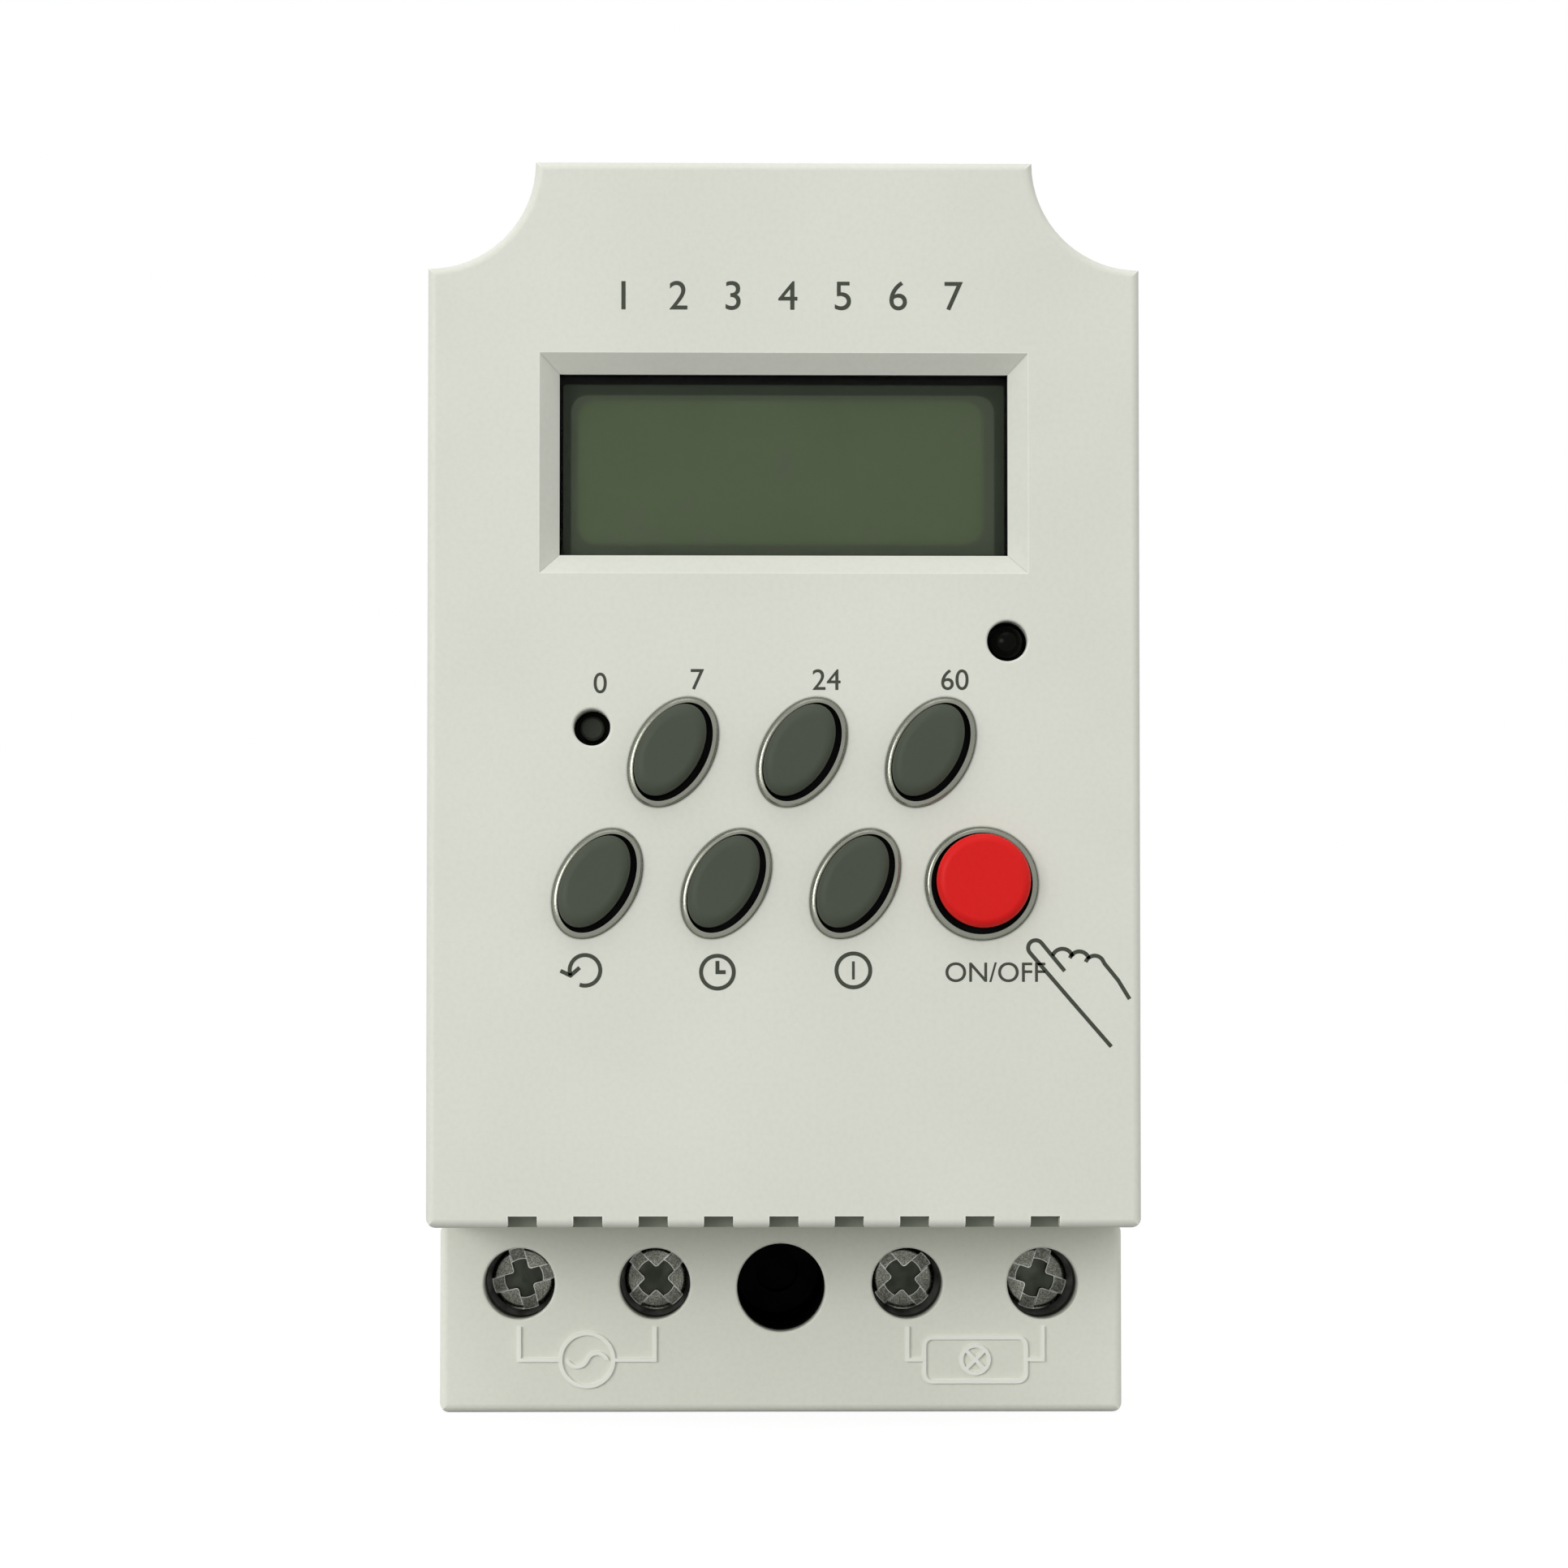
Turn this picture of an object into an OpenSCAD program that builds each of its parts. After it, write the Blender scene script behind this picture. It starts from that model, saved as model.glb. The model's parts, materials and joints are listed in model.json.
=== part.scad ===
// Timer light switch: a weekly time switch for a rail or a wall, with display, keys and screw terminals.
// Millimetres. X is right, Z is up and the front faces -Y. The origin is the middle of the rail seat.

/* [Case] */
// Height of the case
case_h = 120; // [118:0.5:128]
// Width of the front cover
cover_w = 67.6; // [67:0.2:74]
// Depth from the rail seat to the front face
front_d = 51.5; // [50:0.5:58]
// Depth from the rail seat to the terminal shelf
shelf_d = 33.5; // [32:0.5:36]
// Depth from the rail seat to the seam between the front mouldings and the base
seam_d = 20; // [19:0.25:21]
// Lower edge of the cover, below the rail's middle
cover_low = 41.2; // [40.6:0.1:41.6]
// Wall thickness of the mouldings
wall = 2.2; // [1.9:0.1:2.4]
// Radius of the round cut-outs at the top corners
corner_cut = 10.2; // [8:0.2:11]
// Radius of the upright corners
corner_r = 1; // [0.5:0.1:1.5]
// Rounding of the front edges
edge_r = 0.8; // [0.4:0.1:1]
// Rounding of the rims of the round holes in the front
rim_r = 0.25; // [0.1:0.05:0.3]
// How far the base and the terminal block stand in from the cover
inset = 0.3; // [0.2:0.05:0.5]
// Gap at the seams
seam_gap = 0.3; // [0.2:0.05:0.4]
// Height of the tongue on the base that enters the cover
tongue_h = 1.6; // [1:0.1:2.5]
// Thickness of the tongue
tongue_t = 1.2; // [0.9:0.1:1.5]
// Clearance of fits inside the case
fit = 0.15; // [0.1:0.05:0.25]

/* [Cover notches] */
// Number of notches along the cover's lower edge
notch_count = 9; // [5:1:9]
// Distance between the notches
notch_pitch = 6.17; // [5:0.01:6.5]
// Width of a notch
notch_w = 2.75; // [1.5:0.05:3.2]
// Height of a notch above the lower edge
notch_d = 1.1; // [0.4:0.05:1.2]
// Depth of a notch behind the face
notch_in = 2.5; // [1:0.1:4]
// Rounding of the mouth of a notch
notch_r = 0.3; // [0.1:0.05:0.4]

/* [Rail mount] */
// Width of the rail
rail_w = 35; // [34.8:0.1:35.2]
// Room for the rail in its groove
rail_clear = 0.3; // [0.2:0.05:0.5]
// Thickness of the rail's flange
flange_room = 1.2; // [1.1:0.05:1.4]
// How far the hook and the latch reach behind the rail
hook_lap = 1.75; // [1.2:0.05:2]
// Depth of the rail groove
groove_d = 5.5; // [5.3:0.1:6.5]

/* [Rail latch] */
// Width of the latch plate
latch_w = 22; // [18:0.5:23]
// Width of the latch's raised middle
latch_neck = 16; // [13:0.5:16.5]
// Thickness of the latch plate
latch_t = 2; // [1.6:0.1:2.1]
// Running clearance of the latch
latch_gap = 0.3; // [0.2:0.05:0.35]
// Gap between the latch's lower end and the case bottom
latch_rise = 1.5; // [0.5:0.1:2]
// Way that the latch slides down
latch_travel = 3; // [2:0.1:3.5]
// Length of the latch spring with the latch pulled down
spring_pushed = 9.7; // [8.5:0.1:10]
// Mean radius of the latch spring
spring_r = 1.5; // [1.2:0.05:1.6]
// Wire radius of the latch spring
spring_wire = 0.25; // [0.2:0.01:0.3]
// Curls of the latch spring
spring_turns = 8; // [6:1:9]

/* [Wall mount] */
// Height of the fixing hole, below the rail's middle
fixing_low = 47.8; // [47.4:0.1:48.2]
// Radius of the fixing hole in the floor
fixing_r = 2.25; // [1.8:0.05:2.4]
// Thickness of the skin that closes the fixing hole at the back until it is knocked out
knock_t = 0.6; // [0.4:0.05:0.8]
// Radius of the screw shaft that leads to the fixing hole
shaft_r = 4.33; // [4:0.01:4.5]
// Wall of the screw shaft
shaft_wall = 1.2; // [0.9:0.1:1.3]
// Height of the keyhole's round mouth above the rail's middle
keyhole_z = 42; // [41:0.5:43]
// Radius of the keyhole's mouth
keyhole_r = 4.2; // [3.8:0.1:4.4]
// Radius of the keyhole's slot
keyslot_r = 2.2; // [1.8:0.1:2.4]
// Length of the keyhole's slot
keyslot_len = 7; // [6:0.5:8]

/* [Display] */
// Width of the front beside the display opening
window_side = 12.45; // [12.3:0.05:14]
// Height of the display opening
window_h = 17.3; // [15:0.1:17.6]
// Middle of the display above the rail's middle
window_z = 31.25; // [31:0.05:31.6]
// Width of the bevel round the opening
bevel_w = 1.85; // [1:0.05:2]
// Depth of the bevel
bevel_d = 1.7; // [1:0.05:1.75]
// Lap of the window pane behind the opening
pane_lap = 2; // [1.4:0.1:2]
// Thickness of the window pane
pane_t = 1.2; // [0.8:0.1:1.3]
// Gap between the pane and the display
pane_gap = 0.2; // [0.1:0.05:0.4]
// Thickness of the display glass
lcd_t = 2.8; // [2.2:0.1:2.8]
// Wall of the frame that holds the display
frame_wall = 1.5; // [1:0.1:1.5]
// Thickness of a contact strip
zebra_t = 2.4; // [1.8:0.1:2.6]

/* [Keys] */
// Half length of an oval key
key_a = 4.72; // [4.4:0.02:4.8]
// Half width of an oval key
key_b = 2.86; // [2.6:0.02:3]
// Radius of the round key
key_round_r = 4.45; // [4.2:0.05:4.6]
// Gap between a key and its collar
key_gap = 0.36; // [0.32:0.01:0.4]
// How far a cap lies off the middle of its collar
key_off = 0.3; // [0:0.02:0.3]
// Lean of the oval keys from the horizontal
key_tilt = 60; // [50:1:70]
// How far the keys stand out of the face
key_rise = 2; // [1.2:0.1:2.4]
// Rounding of the key edges
key_edge = 0.8; // [0.4:0.1:0.9]
// Skin of a key cap
key_skin = 1; // [0.8:0.05:1.1]
// Distance between keys in a row
key_pitch = 12.2; // [12:0.05:12.4]
// Distance between the two rows
row_pitch = 12.45; // [12.2:0.05:12.8]
// Middle of the upper row above the rail's middle
row_z = 3.76; // [3.2:0.02:4]
// Middle key of the upper row, from the middle of the case
upper_x = 1.7; // [1.4:0.05:2]
// Second key of the lower row, from the middle of the case
lower_x = -5.46; // [-5.7:0.02:-5.2]
// Width of a key collar's bead
bead_w = 0.52; // [0.4:0.02:0.7]
// Height of a key collar's bead
bead_h = 0.5; // [0.3:0.05:0.6]
// Wall of a key collar's sleeve
sleeve_t = 0.35; // [0.3:0.01:0.4]
// Way that a key moves
key_travel = 0.8; // [0.4:0.05:0.8]
// Lap of a key's flange behind its hole
key_lap = 0.5; // [0.4:0.05:0.6]

/* [Small openings] */
// Place of the reset key from the middle
reset_x = -18.19; // [-18.6:0.01:-18]
// Height of the reset key
reset_z = 6.11; // [5.6:0.01:6.6]
// Radius of the reset hole
reset_hole_r = 1.74; // [1.5:0.01:1.9]
// Radius of the reset key
reset_r = 1.13; // [0.9:0.01:1.2]
// Depth of the reset key below the face
reset_sink = 2; // [1.8:0.1:2.4]
// Place of the light from the middle
led_x = 21.18; // [20.5:0.01:21.6]
// Height of the light
led_z = 14.35; // [14:0.01:14.8]
// Radius of the light
led_r = 1.55; // [1.4:0.01:1.6]
// Clearance round the light
led_clear = 0.36; // [0.3:0.01:0.45]

/* [Boards] */
// Distance from the front plate to the control board
board_gap = 8.3; // [8.1:0.05:9]
// Thickness of the boards
board_t = 1.6; // [1.2:0.1:1.8]
// Gap between the control board and the case posts
control_clear = 0.5; // [0.3:0.05:0.8]
// Gap between the power board and the case posts
power_clear = 0.4; // [0.2:0.05:1]
// Distance from the rail seat to the power board's back
power_d = 5; // [4:0.1:5.5]
// Radius of the screw shanks in the boards
board_screw_r = 1; // [0.8:0.05:1.1]
// Radius of the case screw shanks
case_screw_r = 1.3; // [1.1:0.05:1.4]
// Radius of the case screw heads
case_head_r = 2.4; // [2:0.1:2.5]

/* [Terminals] */
// Gap between the screw shaft and the inner terminal bars
shaft_gap = 2.67; // [2.4:0.01:2.8]
// Gap between the outer terminal bars and the side walls
side_gap = 1.4; // [1.2:0.05:1.6]
// Height of the terminals, below the rail's middle
terminal_low = 47.4; // [47:0.1:47.8]
// Radius of the screw wells
well_r = 3.48; // [3.4:0.02:3.6]
// Depth of the screw wells
well_len = 6.5; // [5:0.1:8]
// Wall of the screw wells
well_wall = 1.2; // [0.9:0.1:1.3]
// Radius of the terminal screws
screw_r = 2; // [1.8:0.05:2.1]
// Radius of the terminal screw heads
head_r = 3.15; // [2.9:0.05:3.2]
// Height of the terminal screw heads
head_h = 2.4; // [2.2:0.1:2.6]
// Rounding of the edge of the heads
head_edge = 0.45; // [0.3:0.05:0.9]
// Width of the cross slots in the screw heads
cross_w = 1.5; // [1.2:0.05:1.6]
// Depth of the slots at the rim of the heads
cross_rim_d = 0.7; // [0.4:0.05:0.9]
// Depth of the cross in the middle of the heads
cross_d = 1.6; // [1.2:0.05:1.7]
// Radius of the deep part of the cross
cross_reach = 1.92; // [1.6:0.02:2.2]
// Clearance of a screw in its thread
thread_gap = 0.05; // [0.02:0.01:0.1]
// Thickness of a clamp plate
clamp_t = 1.2; // [0.8:0.1:1.4]
// Side of a clamp plate
clamp_side = 8; // [7:0.1:8.4]
// Thickness of a terminal bar
bar_t = 1.5; // [1.2:0.1:1.8]
// Width of a terminal bar
bar_w = 8.4; // [8:0.1:8.8]
// Way that a terminal opens
clamp_travel = 3.5; // [2.5:0.1:3.5]
// Upper wall of the terminal block, next to the cover
block_wall = 1.2; // [0.9:0.1:1.4]
// Width of a wire entry
entry_w = 7; // [5:0.1:7.6]
// Half height of a wire entry
entry_h = 4; // [3:0.1:4.2]
// Width of the lines of the raised signs
sign_w = 0.36; // [0.3:0.02:0.6]
// Height of the raised signs
sign_h = 0.3; // [0.15:0.05:0.4]
// Distance of the raised signs' middle from the lower end of the case
sign_low = 5.15; // [4.6:0.05:5.2]

/* [Hidden] */
$fn = 48;
past = 1;

// Planes of the case
top_z = case_h / 2;
bottom_z = -case_h / 2;
low_z = -cover_low;
front_y = -front_d;
plate_y = front_y + wall;
shelf_y = -shelf_d;
seam_y = -seam_d;
rear_y = groove_d;
floor_y = rear_y - wall;
base_w = cover_w - 2 * inset;
groove_half = (rail_w + rail_clear) / 2;

// Screws that join the case
post_r = case_head_r + fit + 0.9;
cover_post_r = post_r - 0.6;
post_sink = 1;
post_x = base_w / 2 - wall - post_r + post_sink;
post_z = [38, -30];
head_seat_y = -10;
case_screw_end = seam_y - 14;

// Control board and what stands on it
board_y = plate_y + board_gap;
control_z = [-36, 49.5];
control_w = 2 * (post_x - cover_post_r - control_clear);
control_boss_in = 3.5;
control_boss_x = control_w / 2 - control_boss_in;
control_boss_z = [-33, 46.8];
boss_r = board_screw_r + 1.2;
window_w = cover_w - 2 * window_side;
lcd_w = window_w + 3.3;
lcd_h = window_h + 4.2;
lcd_y = plate_y + pane_t + pane_gap;
frame_w = lcd_w + 2 * fit + 2 * frame_wall;
frame_h = lcd_h + 2 * fit + 2 * frame_wall;
zebra_z = lcd_h / 2 - zebra_t / 2 - 0.6;

// Keys, as [across, up, half length, half width, way that the cap lies off the middle, from its length]
lower_z = row_z - row_pitch;
manual_x = 18.71;
day_at = [upper_x - key_pitch, row_z, key_a, key_b, 90];
hour_at = [upper_x, row_z, key_a, key_b, 90];
minute_at = [upper_x + key_pitch, row_z, key_a, key_b, 90];
recall_at = [lower_x - key_pitch, lower_z, key_a, key_b, 90];
clock_at = [lower_x, lower_z, key_a, key_b, 90];
program_at = [lower_x + key_pitch, lower_z, key_a, key_b, 90];
manual_at = [manual_x, lower_z, key_round_r, key_round_r, 0];
keys = [day_at, hour_at, minute_at, recall_at, clock_at, program_at, manual_at];
stop_gap = 0.3;
flange_t = 0.8;
flange_y = plate_y + stop_gap;
switch_w = 6.2;
switch_lid = 0.5;
switch_floor = 0.6;
snap_room = 0.7;
plunger_r = 1.7;
plunger_rim_r = 2.4;
plunger_rim_t = 0.6;
plunger_rise = key_travel + stop_gap;
switch_h = switch_floor + snap_room + key_travel + plunger_rim_t + stop_gap + switch_lid;
switch_top_y = board_y - switch_h;
plunger_y = switch_top_y - plunger_rise;
rim_y = switch_top_y + switch_lid + stop_gap;

// Terminals
terminal_in = shaft_r + shaft_wall + shaft_gap + bar_w / 2;
terminal_out = base_w / 2 - wall - side_gap - bar_w / 2;
terminal_xs = [-terminal_out, -terminal_in, terminal_in, terminal_out];
terminal_turns = [15, 45, 41, -18];
terminal_z = -terminal_low;
bar_y = seam_y + 0.7;
clamp_y = bar_y - 0.3;
head_y = clamp_y - clamp_t;
tail_w = 3;
tail_in = bar_w / 2 - tail_w / 2;
tail_top = -34.6;
power_y = -power_d;
power_front = power_y - board_t;
power_z = [-37, 47];
power_w = 2 * (post_x - post_r - power_clear);
power_boss_in = 4;
power_boss_x = power_w / 2 - power_boss_in;
power_boss_z = [-30, 42];
clamp_clear = 0.5;
well_end_y = min(shelf_y + well_len, head_y - clamp_travel - clamp_clear);
sign_z = bottom_z + sign_low;

// Latch on the back
latch_y = flange_room + 0.1;
channel_y = latch_y - latch_gap;
lip_y = latch_y + latch_t + latch_gap;
neck_y = rear_y - 0.2;
fixing_z = -fixing_low;
fixing_boss_r = fixing_r + 1.9;
spring_seat_z = fixing_z + fixing_boss_r + 2;
spring_low = spring_seat_z + stop_gap;
spring_len = spring_pushed + latch_travel;
slot_top = spring_low + spring_len + stop_gap;
slot_low = fixing_z - fixing_boss_r - stop_gap;
slot_w = 2 * fixing_boss_r + 2 * latch_gap;
spring_y = (channel_y + rear_y) / 2;

// Parts on the boards
chip_dome_r = 12;
chip_dome_h = 1.8;
crystal_r = 1.5;
crystal_len = 8;
cell_r = 7.75;
cell_t = 6;
cell_step = 1;
link_pins = 6;
link_pitch = 2.54;
link_t = 2.5;
pin_w = 0.64;
relay_w = 19;
relay_l = 15.5;
relay_h = 14.6;
relay_step = 0.6;
dropper_w = 26;
dropper_t = 9;
dropper_h = 16;
smoother_r = 5;
smoother_h = 16;
// The crimp round the foot of the smoothing capacitor
crimp_z = 2.3;
crimp_half = 0.7;
crimp_flat = 0.3;
crimp_d = 0.6;
diode_z = 32;
diode_r = 1.35;
diode_len = 5.2;
diode_lead = 0.4;
diode_span = 8.5;
diode_pitch = 4;
diode_edge = 2;
resistor_r = 1.25;
resistor_len = 6.5;
resistor_lead = 0.3;
resistor_span = 10;
resistor_pitch = 5;
varistor_r = 5;
varistor_t = 3.8;
varistor_lift = 2;
regulator_r = 2.3;
regulator_h = 4.6;
regulator_lift = 3;

plastic = [0.80, 0.81, 0.75];
grey_key = [0.30, 0.32, 0.27];
steel = [0.70, 0.70, 0.70];
brass = [0.76, 0.62, 0.30];
board_green = [0.13, 0.35, 0.18];
black = [0.08, 0.08, 0.08];

// Shared shapes

// Pushes an outline drawn in X and Z from one depth to another
module slab(y_front, y_back) {
  translate([0, y_back, 0])
    rotate([90, 0, 0])
      linear_extrude(y_back - y_front)
        children();
}

// A cylinder along Y
module rod(x, z, y_front, y_back, r) {
  slab(y_front, y_back)
    translate([x, z])
      circle(r = r);
}

// Stands children on the face at a place, with their Z towards the viewer and zero at the rail seat
module facing(x, z) {
  translate([x, 0, z])
    rotate([90, 0, 0])
      children();
}

module rounded(w, h, r) {
  square([w - 2 * r, h], center = true);
  square([w, h - 2 * r], center = true);
  for (x = [-1, 1], y = [-1, 1])
    translate([x * (w / 2 - r), y * (h / 2 - r)])
      circle(r = r);
}

module ellipse(a, b) {
  scale([a / b, 1])
    circle(r = b);
}

// A puck with a rounded upper edge, oval where a and b differ
module puck(a, b, h, r) {
  scale([a / b, 1, 1])
    rotate_extrude() {
      square([b - r, h]);
      square([b, h - r]);
      intersection() {
        translate([b - r, h - r])
          circle(r = r);
        square([b, h]);
      }
    }
}

// What a rounding takes off an edge at the origin, with the solid on the + side of both axes
module round_cut(r) {
  difference() {
    translate([-past, -past])
      square(r + past);
    translate([r, r])
      circle(r = r);
  }
}

module along_x(length) {
  translate([-length / 2, 0, 0])
    rotate([90, 0, 90])
      linear_extrude(length)
        children();
}

// Rounds the upright edges of a face at one depth; dir is 1 where the solid lies behind it, -1 in front
module round_sides(w, z_low, z_high, y, r, dir) {
  for (s = [0, 1])
    mirror([s, 0, 0])
      translate([-w / 2, y, z_low - past])
        linear_extrude(z_high - z_low + 2 * past)
          scale([1, dir])
            round_cut(r);
}

module round_low(w, z, y, r, dir) {
  translate([0, y, z])
    along_x(w + 2 * past)
      scale([dir, 1])
        round_cut(r);
}

module round_high(w, z, y, r, dir) {
  translate([0, y, z])
    along_x(w + 2 * past)
      scale([dir, -1])
        round_cut(r);
}

// What a rounding takes off the rim of a round hole in a face that looks forwards
module rim_cut(x, z, y, r) {
  translate([x, y, z])
    rotate([-90, 0, 0])
      rotate_extrude()
        translate([r, 0])
          round_cut(rim_r);
}

// Front cover

module cover_outline(in) {
  difference() {
    translate([0, (top_z + low_z) / 2])
      rounded(cover_w - 2 * in, top_z - low_z - 2 * in, max(corner_r - in, 0.3));
    for (s = [-1, 1])
      translate([s * cover_w / 2, top_z])
        circle(r = corner_cut + in);
  }
}

module cover_rounding() {
  round_sides(cover_w, low_z, top_z, front_y, edge_r, 1);
  round_low(cover_w, low_z, front_y, edge_r, 1);
  round_high(cover_w, top_z, front_y, edge_r, 1);
  for (s = [-1, 1])
    translate([s * cover_w / 2, front_y, top_z])
      rotate([-90, 0, 0])
        rotate_extrude()
          translate([corner_cut, 0])
            round_cut(edge_r);
}

module notch() {
  translate([-notch_w / 2, -past])
    square([notch_w, notch_d + past]);
  for (s = [-1, 1])
    scale([s, 1])
      translate([notch_w / 2, 0])
        difference() {
          translate([-past, -past])
            square([notch_r + past, notch_r + past]);
          translate([notch_r, notch_r])
            circle(r = notch_r);
        }
}

module bevel_profile(size) {
  half = size / 2;
  flare = bevel_w + bevel_w / bevel_d * past;
  polygon([
    [-half - flare, front_y - past], [half + flare, front_y - past], [half, front_y + bevel_d],
    [half, plate_y + past], [-half, plate_y + past], [-half, front_y + bevel_d]
  ]);
}

module window_cut() {
  reach = cover_w / 3;
  intersection() {
    translate([0, 0, window_z - reach])
      linear_extrude(2 * reach)
        bevel_profile(window_w);
    translate([0, 0, window_z])
      along_x(2 * reach + cover_w / 3)
        rotate(-90)
          scale([-1, 1])
            bevel_profile(window_h);
  }
}

// Opening of a key's collar, as an outline in X and Z
module key_outline(at, grow) {
  translate([at[0], at[1]])
    rotate(key_tilt)
      ellipse(at[2] + grow, at[3] + grow);
}

module front_cover() {
  pane_w = window_w + 2 * pane_lap;
  pane_h = window_h + 2 * pane_lap;
  rim_t = 1;
  color(plastic)
    difference() {
      union() {
        difference() {
          slab(front_y, seam_y - seam_gap)
            cover_outline(0);
          slab(plate_y, seam_y)
            cover_outline(wall);
        }
        for (s = [-1, 1]) {
          for (z = post_z)
            rod(s * post_x, z, plate_y - 0.5, seam_y - seam_gap, cover_post_r);
          for (z = control_boss_z)
            rod(s * control_boss_x, z, plate_y - 0.5, board_y, boss_r);
        }
        rod(reset_x, reset_z, plate_y - 0.5, plate_y + reset_sink, reset_hole_r + 1);
        slab(plate_y - 0.5, plate_y + pane_t - 0.3)
          translate([0, window_z])
            difference() {
              square([pane_w + 2 * fit + 2 * rim_t, pane_h + 2 * fit + 2 * rim_t], center = true);
              square([pane_w + 2 * fit, pane_h + 2 * fit], center = true);
            }
      }
      cover_rounding();
      slab(front_y - past, front_y + notch_in)
        for (i = [0 : notch_count - 1])
          translate([(i - (notch_count - 1) / 2) * notch_pitch, low_z])
            notch();
      window_cut();
      slab(front_y - past, plate_y + past) {
        for (at = keys)
          key_outline(at, key_gap + sleeve_t + 0.03);
        translate([led_x, led_z])
          circle(r = led_r + led_clear);
      }
      rod(reset_x, reset_z, front_y - past, plate_y + reset_sink + past, reset_hole_r);
      rim_cut(reset_x, reset_z, front_y, reset_hole_r);
      rim_cut(led_x, led_z, front_y, led_r + led_clear);
      for (s = [-1, 1]) {
        for (z = post_z)
          rod(s * post_x, z, case_screw_end - 1, seam_y, case_screw_r + thread_gap);
        for (z = control_boss_z)
          rod(s * control_boss_x, z, plate_y + 1, board_y + past, board_screw_r + thread_gap);
      }
    }
}

module key_collar(at) {
  a = at[2] + key_gap;
  b = at[3] + key_gap;
  facing(at[0], at[1])
    rotate(key_tilt)
      difference() {
        union() {
          translate([0, 0, front_d])
            puck(a + bead_w, b + bead_w, bead_h, bead_h * 0.8);
          translate([0, 0, front_d - wall + 0.4])
            linear_extrude(wall)
              ellipse(a + sleeve_t, b + sleeve_t);
        }
        translate([0, 0, front_d - wall - past])
          linear_extrude(wall + bead_h + 2 * past)
            ellipse(a, b);
      }
}

module key_collars() {
  color(steel)
    for (at = keys)
      key_collar(at);
}

// Rear base

module base_outline(in) {
  difference() {
    translate([0, (top_z - inset + bottom_z) / 2])
      rounded(base_w - 2 * in, case_h - inset - 2 * in, max(corner_r - in, 0.3));
    for (s = [-1, 1])
      translate([s * cover_w / 2, top_z])
        circle(r = corner_cut + inset + in);
  }
}

module groove_cut() {
  lead = 0.8;
  along_x(cover_w + 2 * past)
    polygon([
      [0, -groove_half], [0, groove_half], [flange_room, groove_half],
      [flange_room, groove_half - hook_lap], [rear_y - lead, groove_half - hook_lap],
      [rear_y + past, groove_half - hook_lap + lead + past], [rear_y + past, -groove_half]
    ]);
}

module latch_channel() {
  length = -groove_half - bottom_z + 2 * past;
  low = bottom_z - past;
  translate([0, 0, low])
    linear_extrude(length) {
      translate([-latch_w / 2 - latch_gap, channel_y])
        square([latch_w + 2 * latch_gap, lip_y - channel_y]);
      translate([-latch_neck / 2 - latch_gap, channel_y])
        square([latch_neck + 2 * latch_gap, rear_y - channel_y + past]);
    }
}

module keyhole_outline(grow) {
  translate([0, keyhole_z])
    circle(r = keyhole_r + grow);
  translate([-keyslot_r - grow, keyhole_z])
    square([2 * keyslot_r + 2 * grow, keyslot_len]);
  translate([0, keyhole_z + keyslot_len])
    circle(r = keyslot_r + grow);
}

module keyhole_room(grow) {
  room_w = 2 * keyhole_r + 2;
  room_h = keyhole_r + keyslot_len + keyslot_r + 4;
  translate([-room_w / 2 - grow, keyhole_z - keyhole_r - 1 - grow])
    square([room_w + 2 * grow, room_h + 2 * grow]);
}

module entry_cut(y_front, y_back) {
  for (x = terminal_xs)
    translate([x - entry_w / 2, y_front, bottom_z - past])
      cube([entry_w, y_back - y_front, wall + 2 * past]);
}

module base_posts() {
  for (s = [-1, 1]) {
    for (z = post_z)
      rod(s * post_x, z, seam_y, rear_y - 0.5, post_r);
    for (z = power_boss_z)
      rod(s * power_boss_x, z, power_y, rear_y - 0.5, board_screw_r + 1.5);
  }
}

// Walls and seats of the terminal chambers
module base_chambers() {
  slab(seam_y, rear_y - 0.5) {
    translate([-base_w / 2 + 0.5, low_z])
      square([base_w - 1, wall]);
    for (s = [-1, 1])
      translate([s * (terminal_in + terminal_out) / 2 - 0.7, bottom_z + 0.5])
        square([1.4, low_z - bottom_z]);
    translate([0, fixing_z])
      circle(r = shaft_r + shaft_wall);
  }
  slab(bar_y + bar_t, rear_y - 0.5)
    for (x = terminal_xs)
      translate([x - bar_w / 2 - 0.8, terminal_z - 5.5])
        square([bar_w + 1.6, 11]);
}

module base_tongue() {
  slab(seam_y - tongue_h, seam_y + 1)
    intersection() {
      difference() {
        cover_outline(wall + fit);
        cover_outline(wall + fit + tongue_t);
      }
      difference() {
        translate([-cover_w / 2, low_z + wall + 3])
          square([cover_w, case_h]);
        for (s = [-1, 1], z = post_z)
          translate([s * post_x, z])
            circle(r = cover_post_r + fit);
      }
    }
}

module base_body() {
  difference() {
    union() {
      difference() {
        slab(seam_y, rear_y)
          base_outline(0);
        slab(seam_y - past, floor_y)
          base_outline(wall);
      }
      slab(-wall, rear_y - 0.5)
        square([base_w - 1, 2 * groove_half + 2 * wall], center = true);
      slab(channel_y - wall, rear_y - 0.5)
        translate([-latch_w / 2 - latch_gap - wall, bottom_z + 0.5])
          square([latch_w + 2 * latch_gap + 2 * wall, -groove_half - bottom_z]);
      slab(channel_y - wall, rear_y - 0.5)
        keyhole_room(wall - 0.6);
      base_posts();
      base_chambers();
      base_tongue();
    }
    round_sides(base_w, bottom_z, top_z, rear_y, edge_r, -1);
    round_low(base_w, bottom_z, rear_y, edge_r, -1);
    round_high(base_w, top_z - inset, rear_y, edge_r, -1);
    groove_cut();
    latch_channel();
    slab(floor_y, rear_y + past)
      keyhole_outline(0);
    slab(channel_y - 0.6, floor_y + 0.01)
      keyhole_room(0);
  }
}

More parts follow.
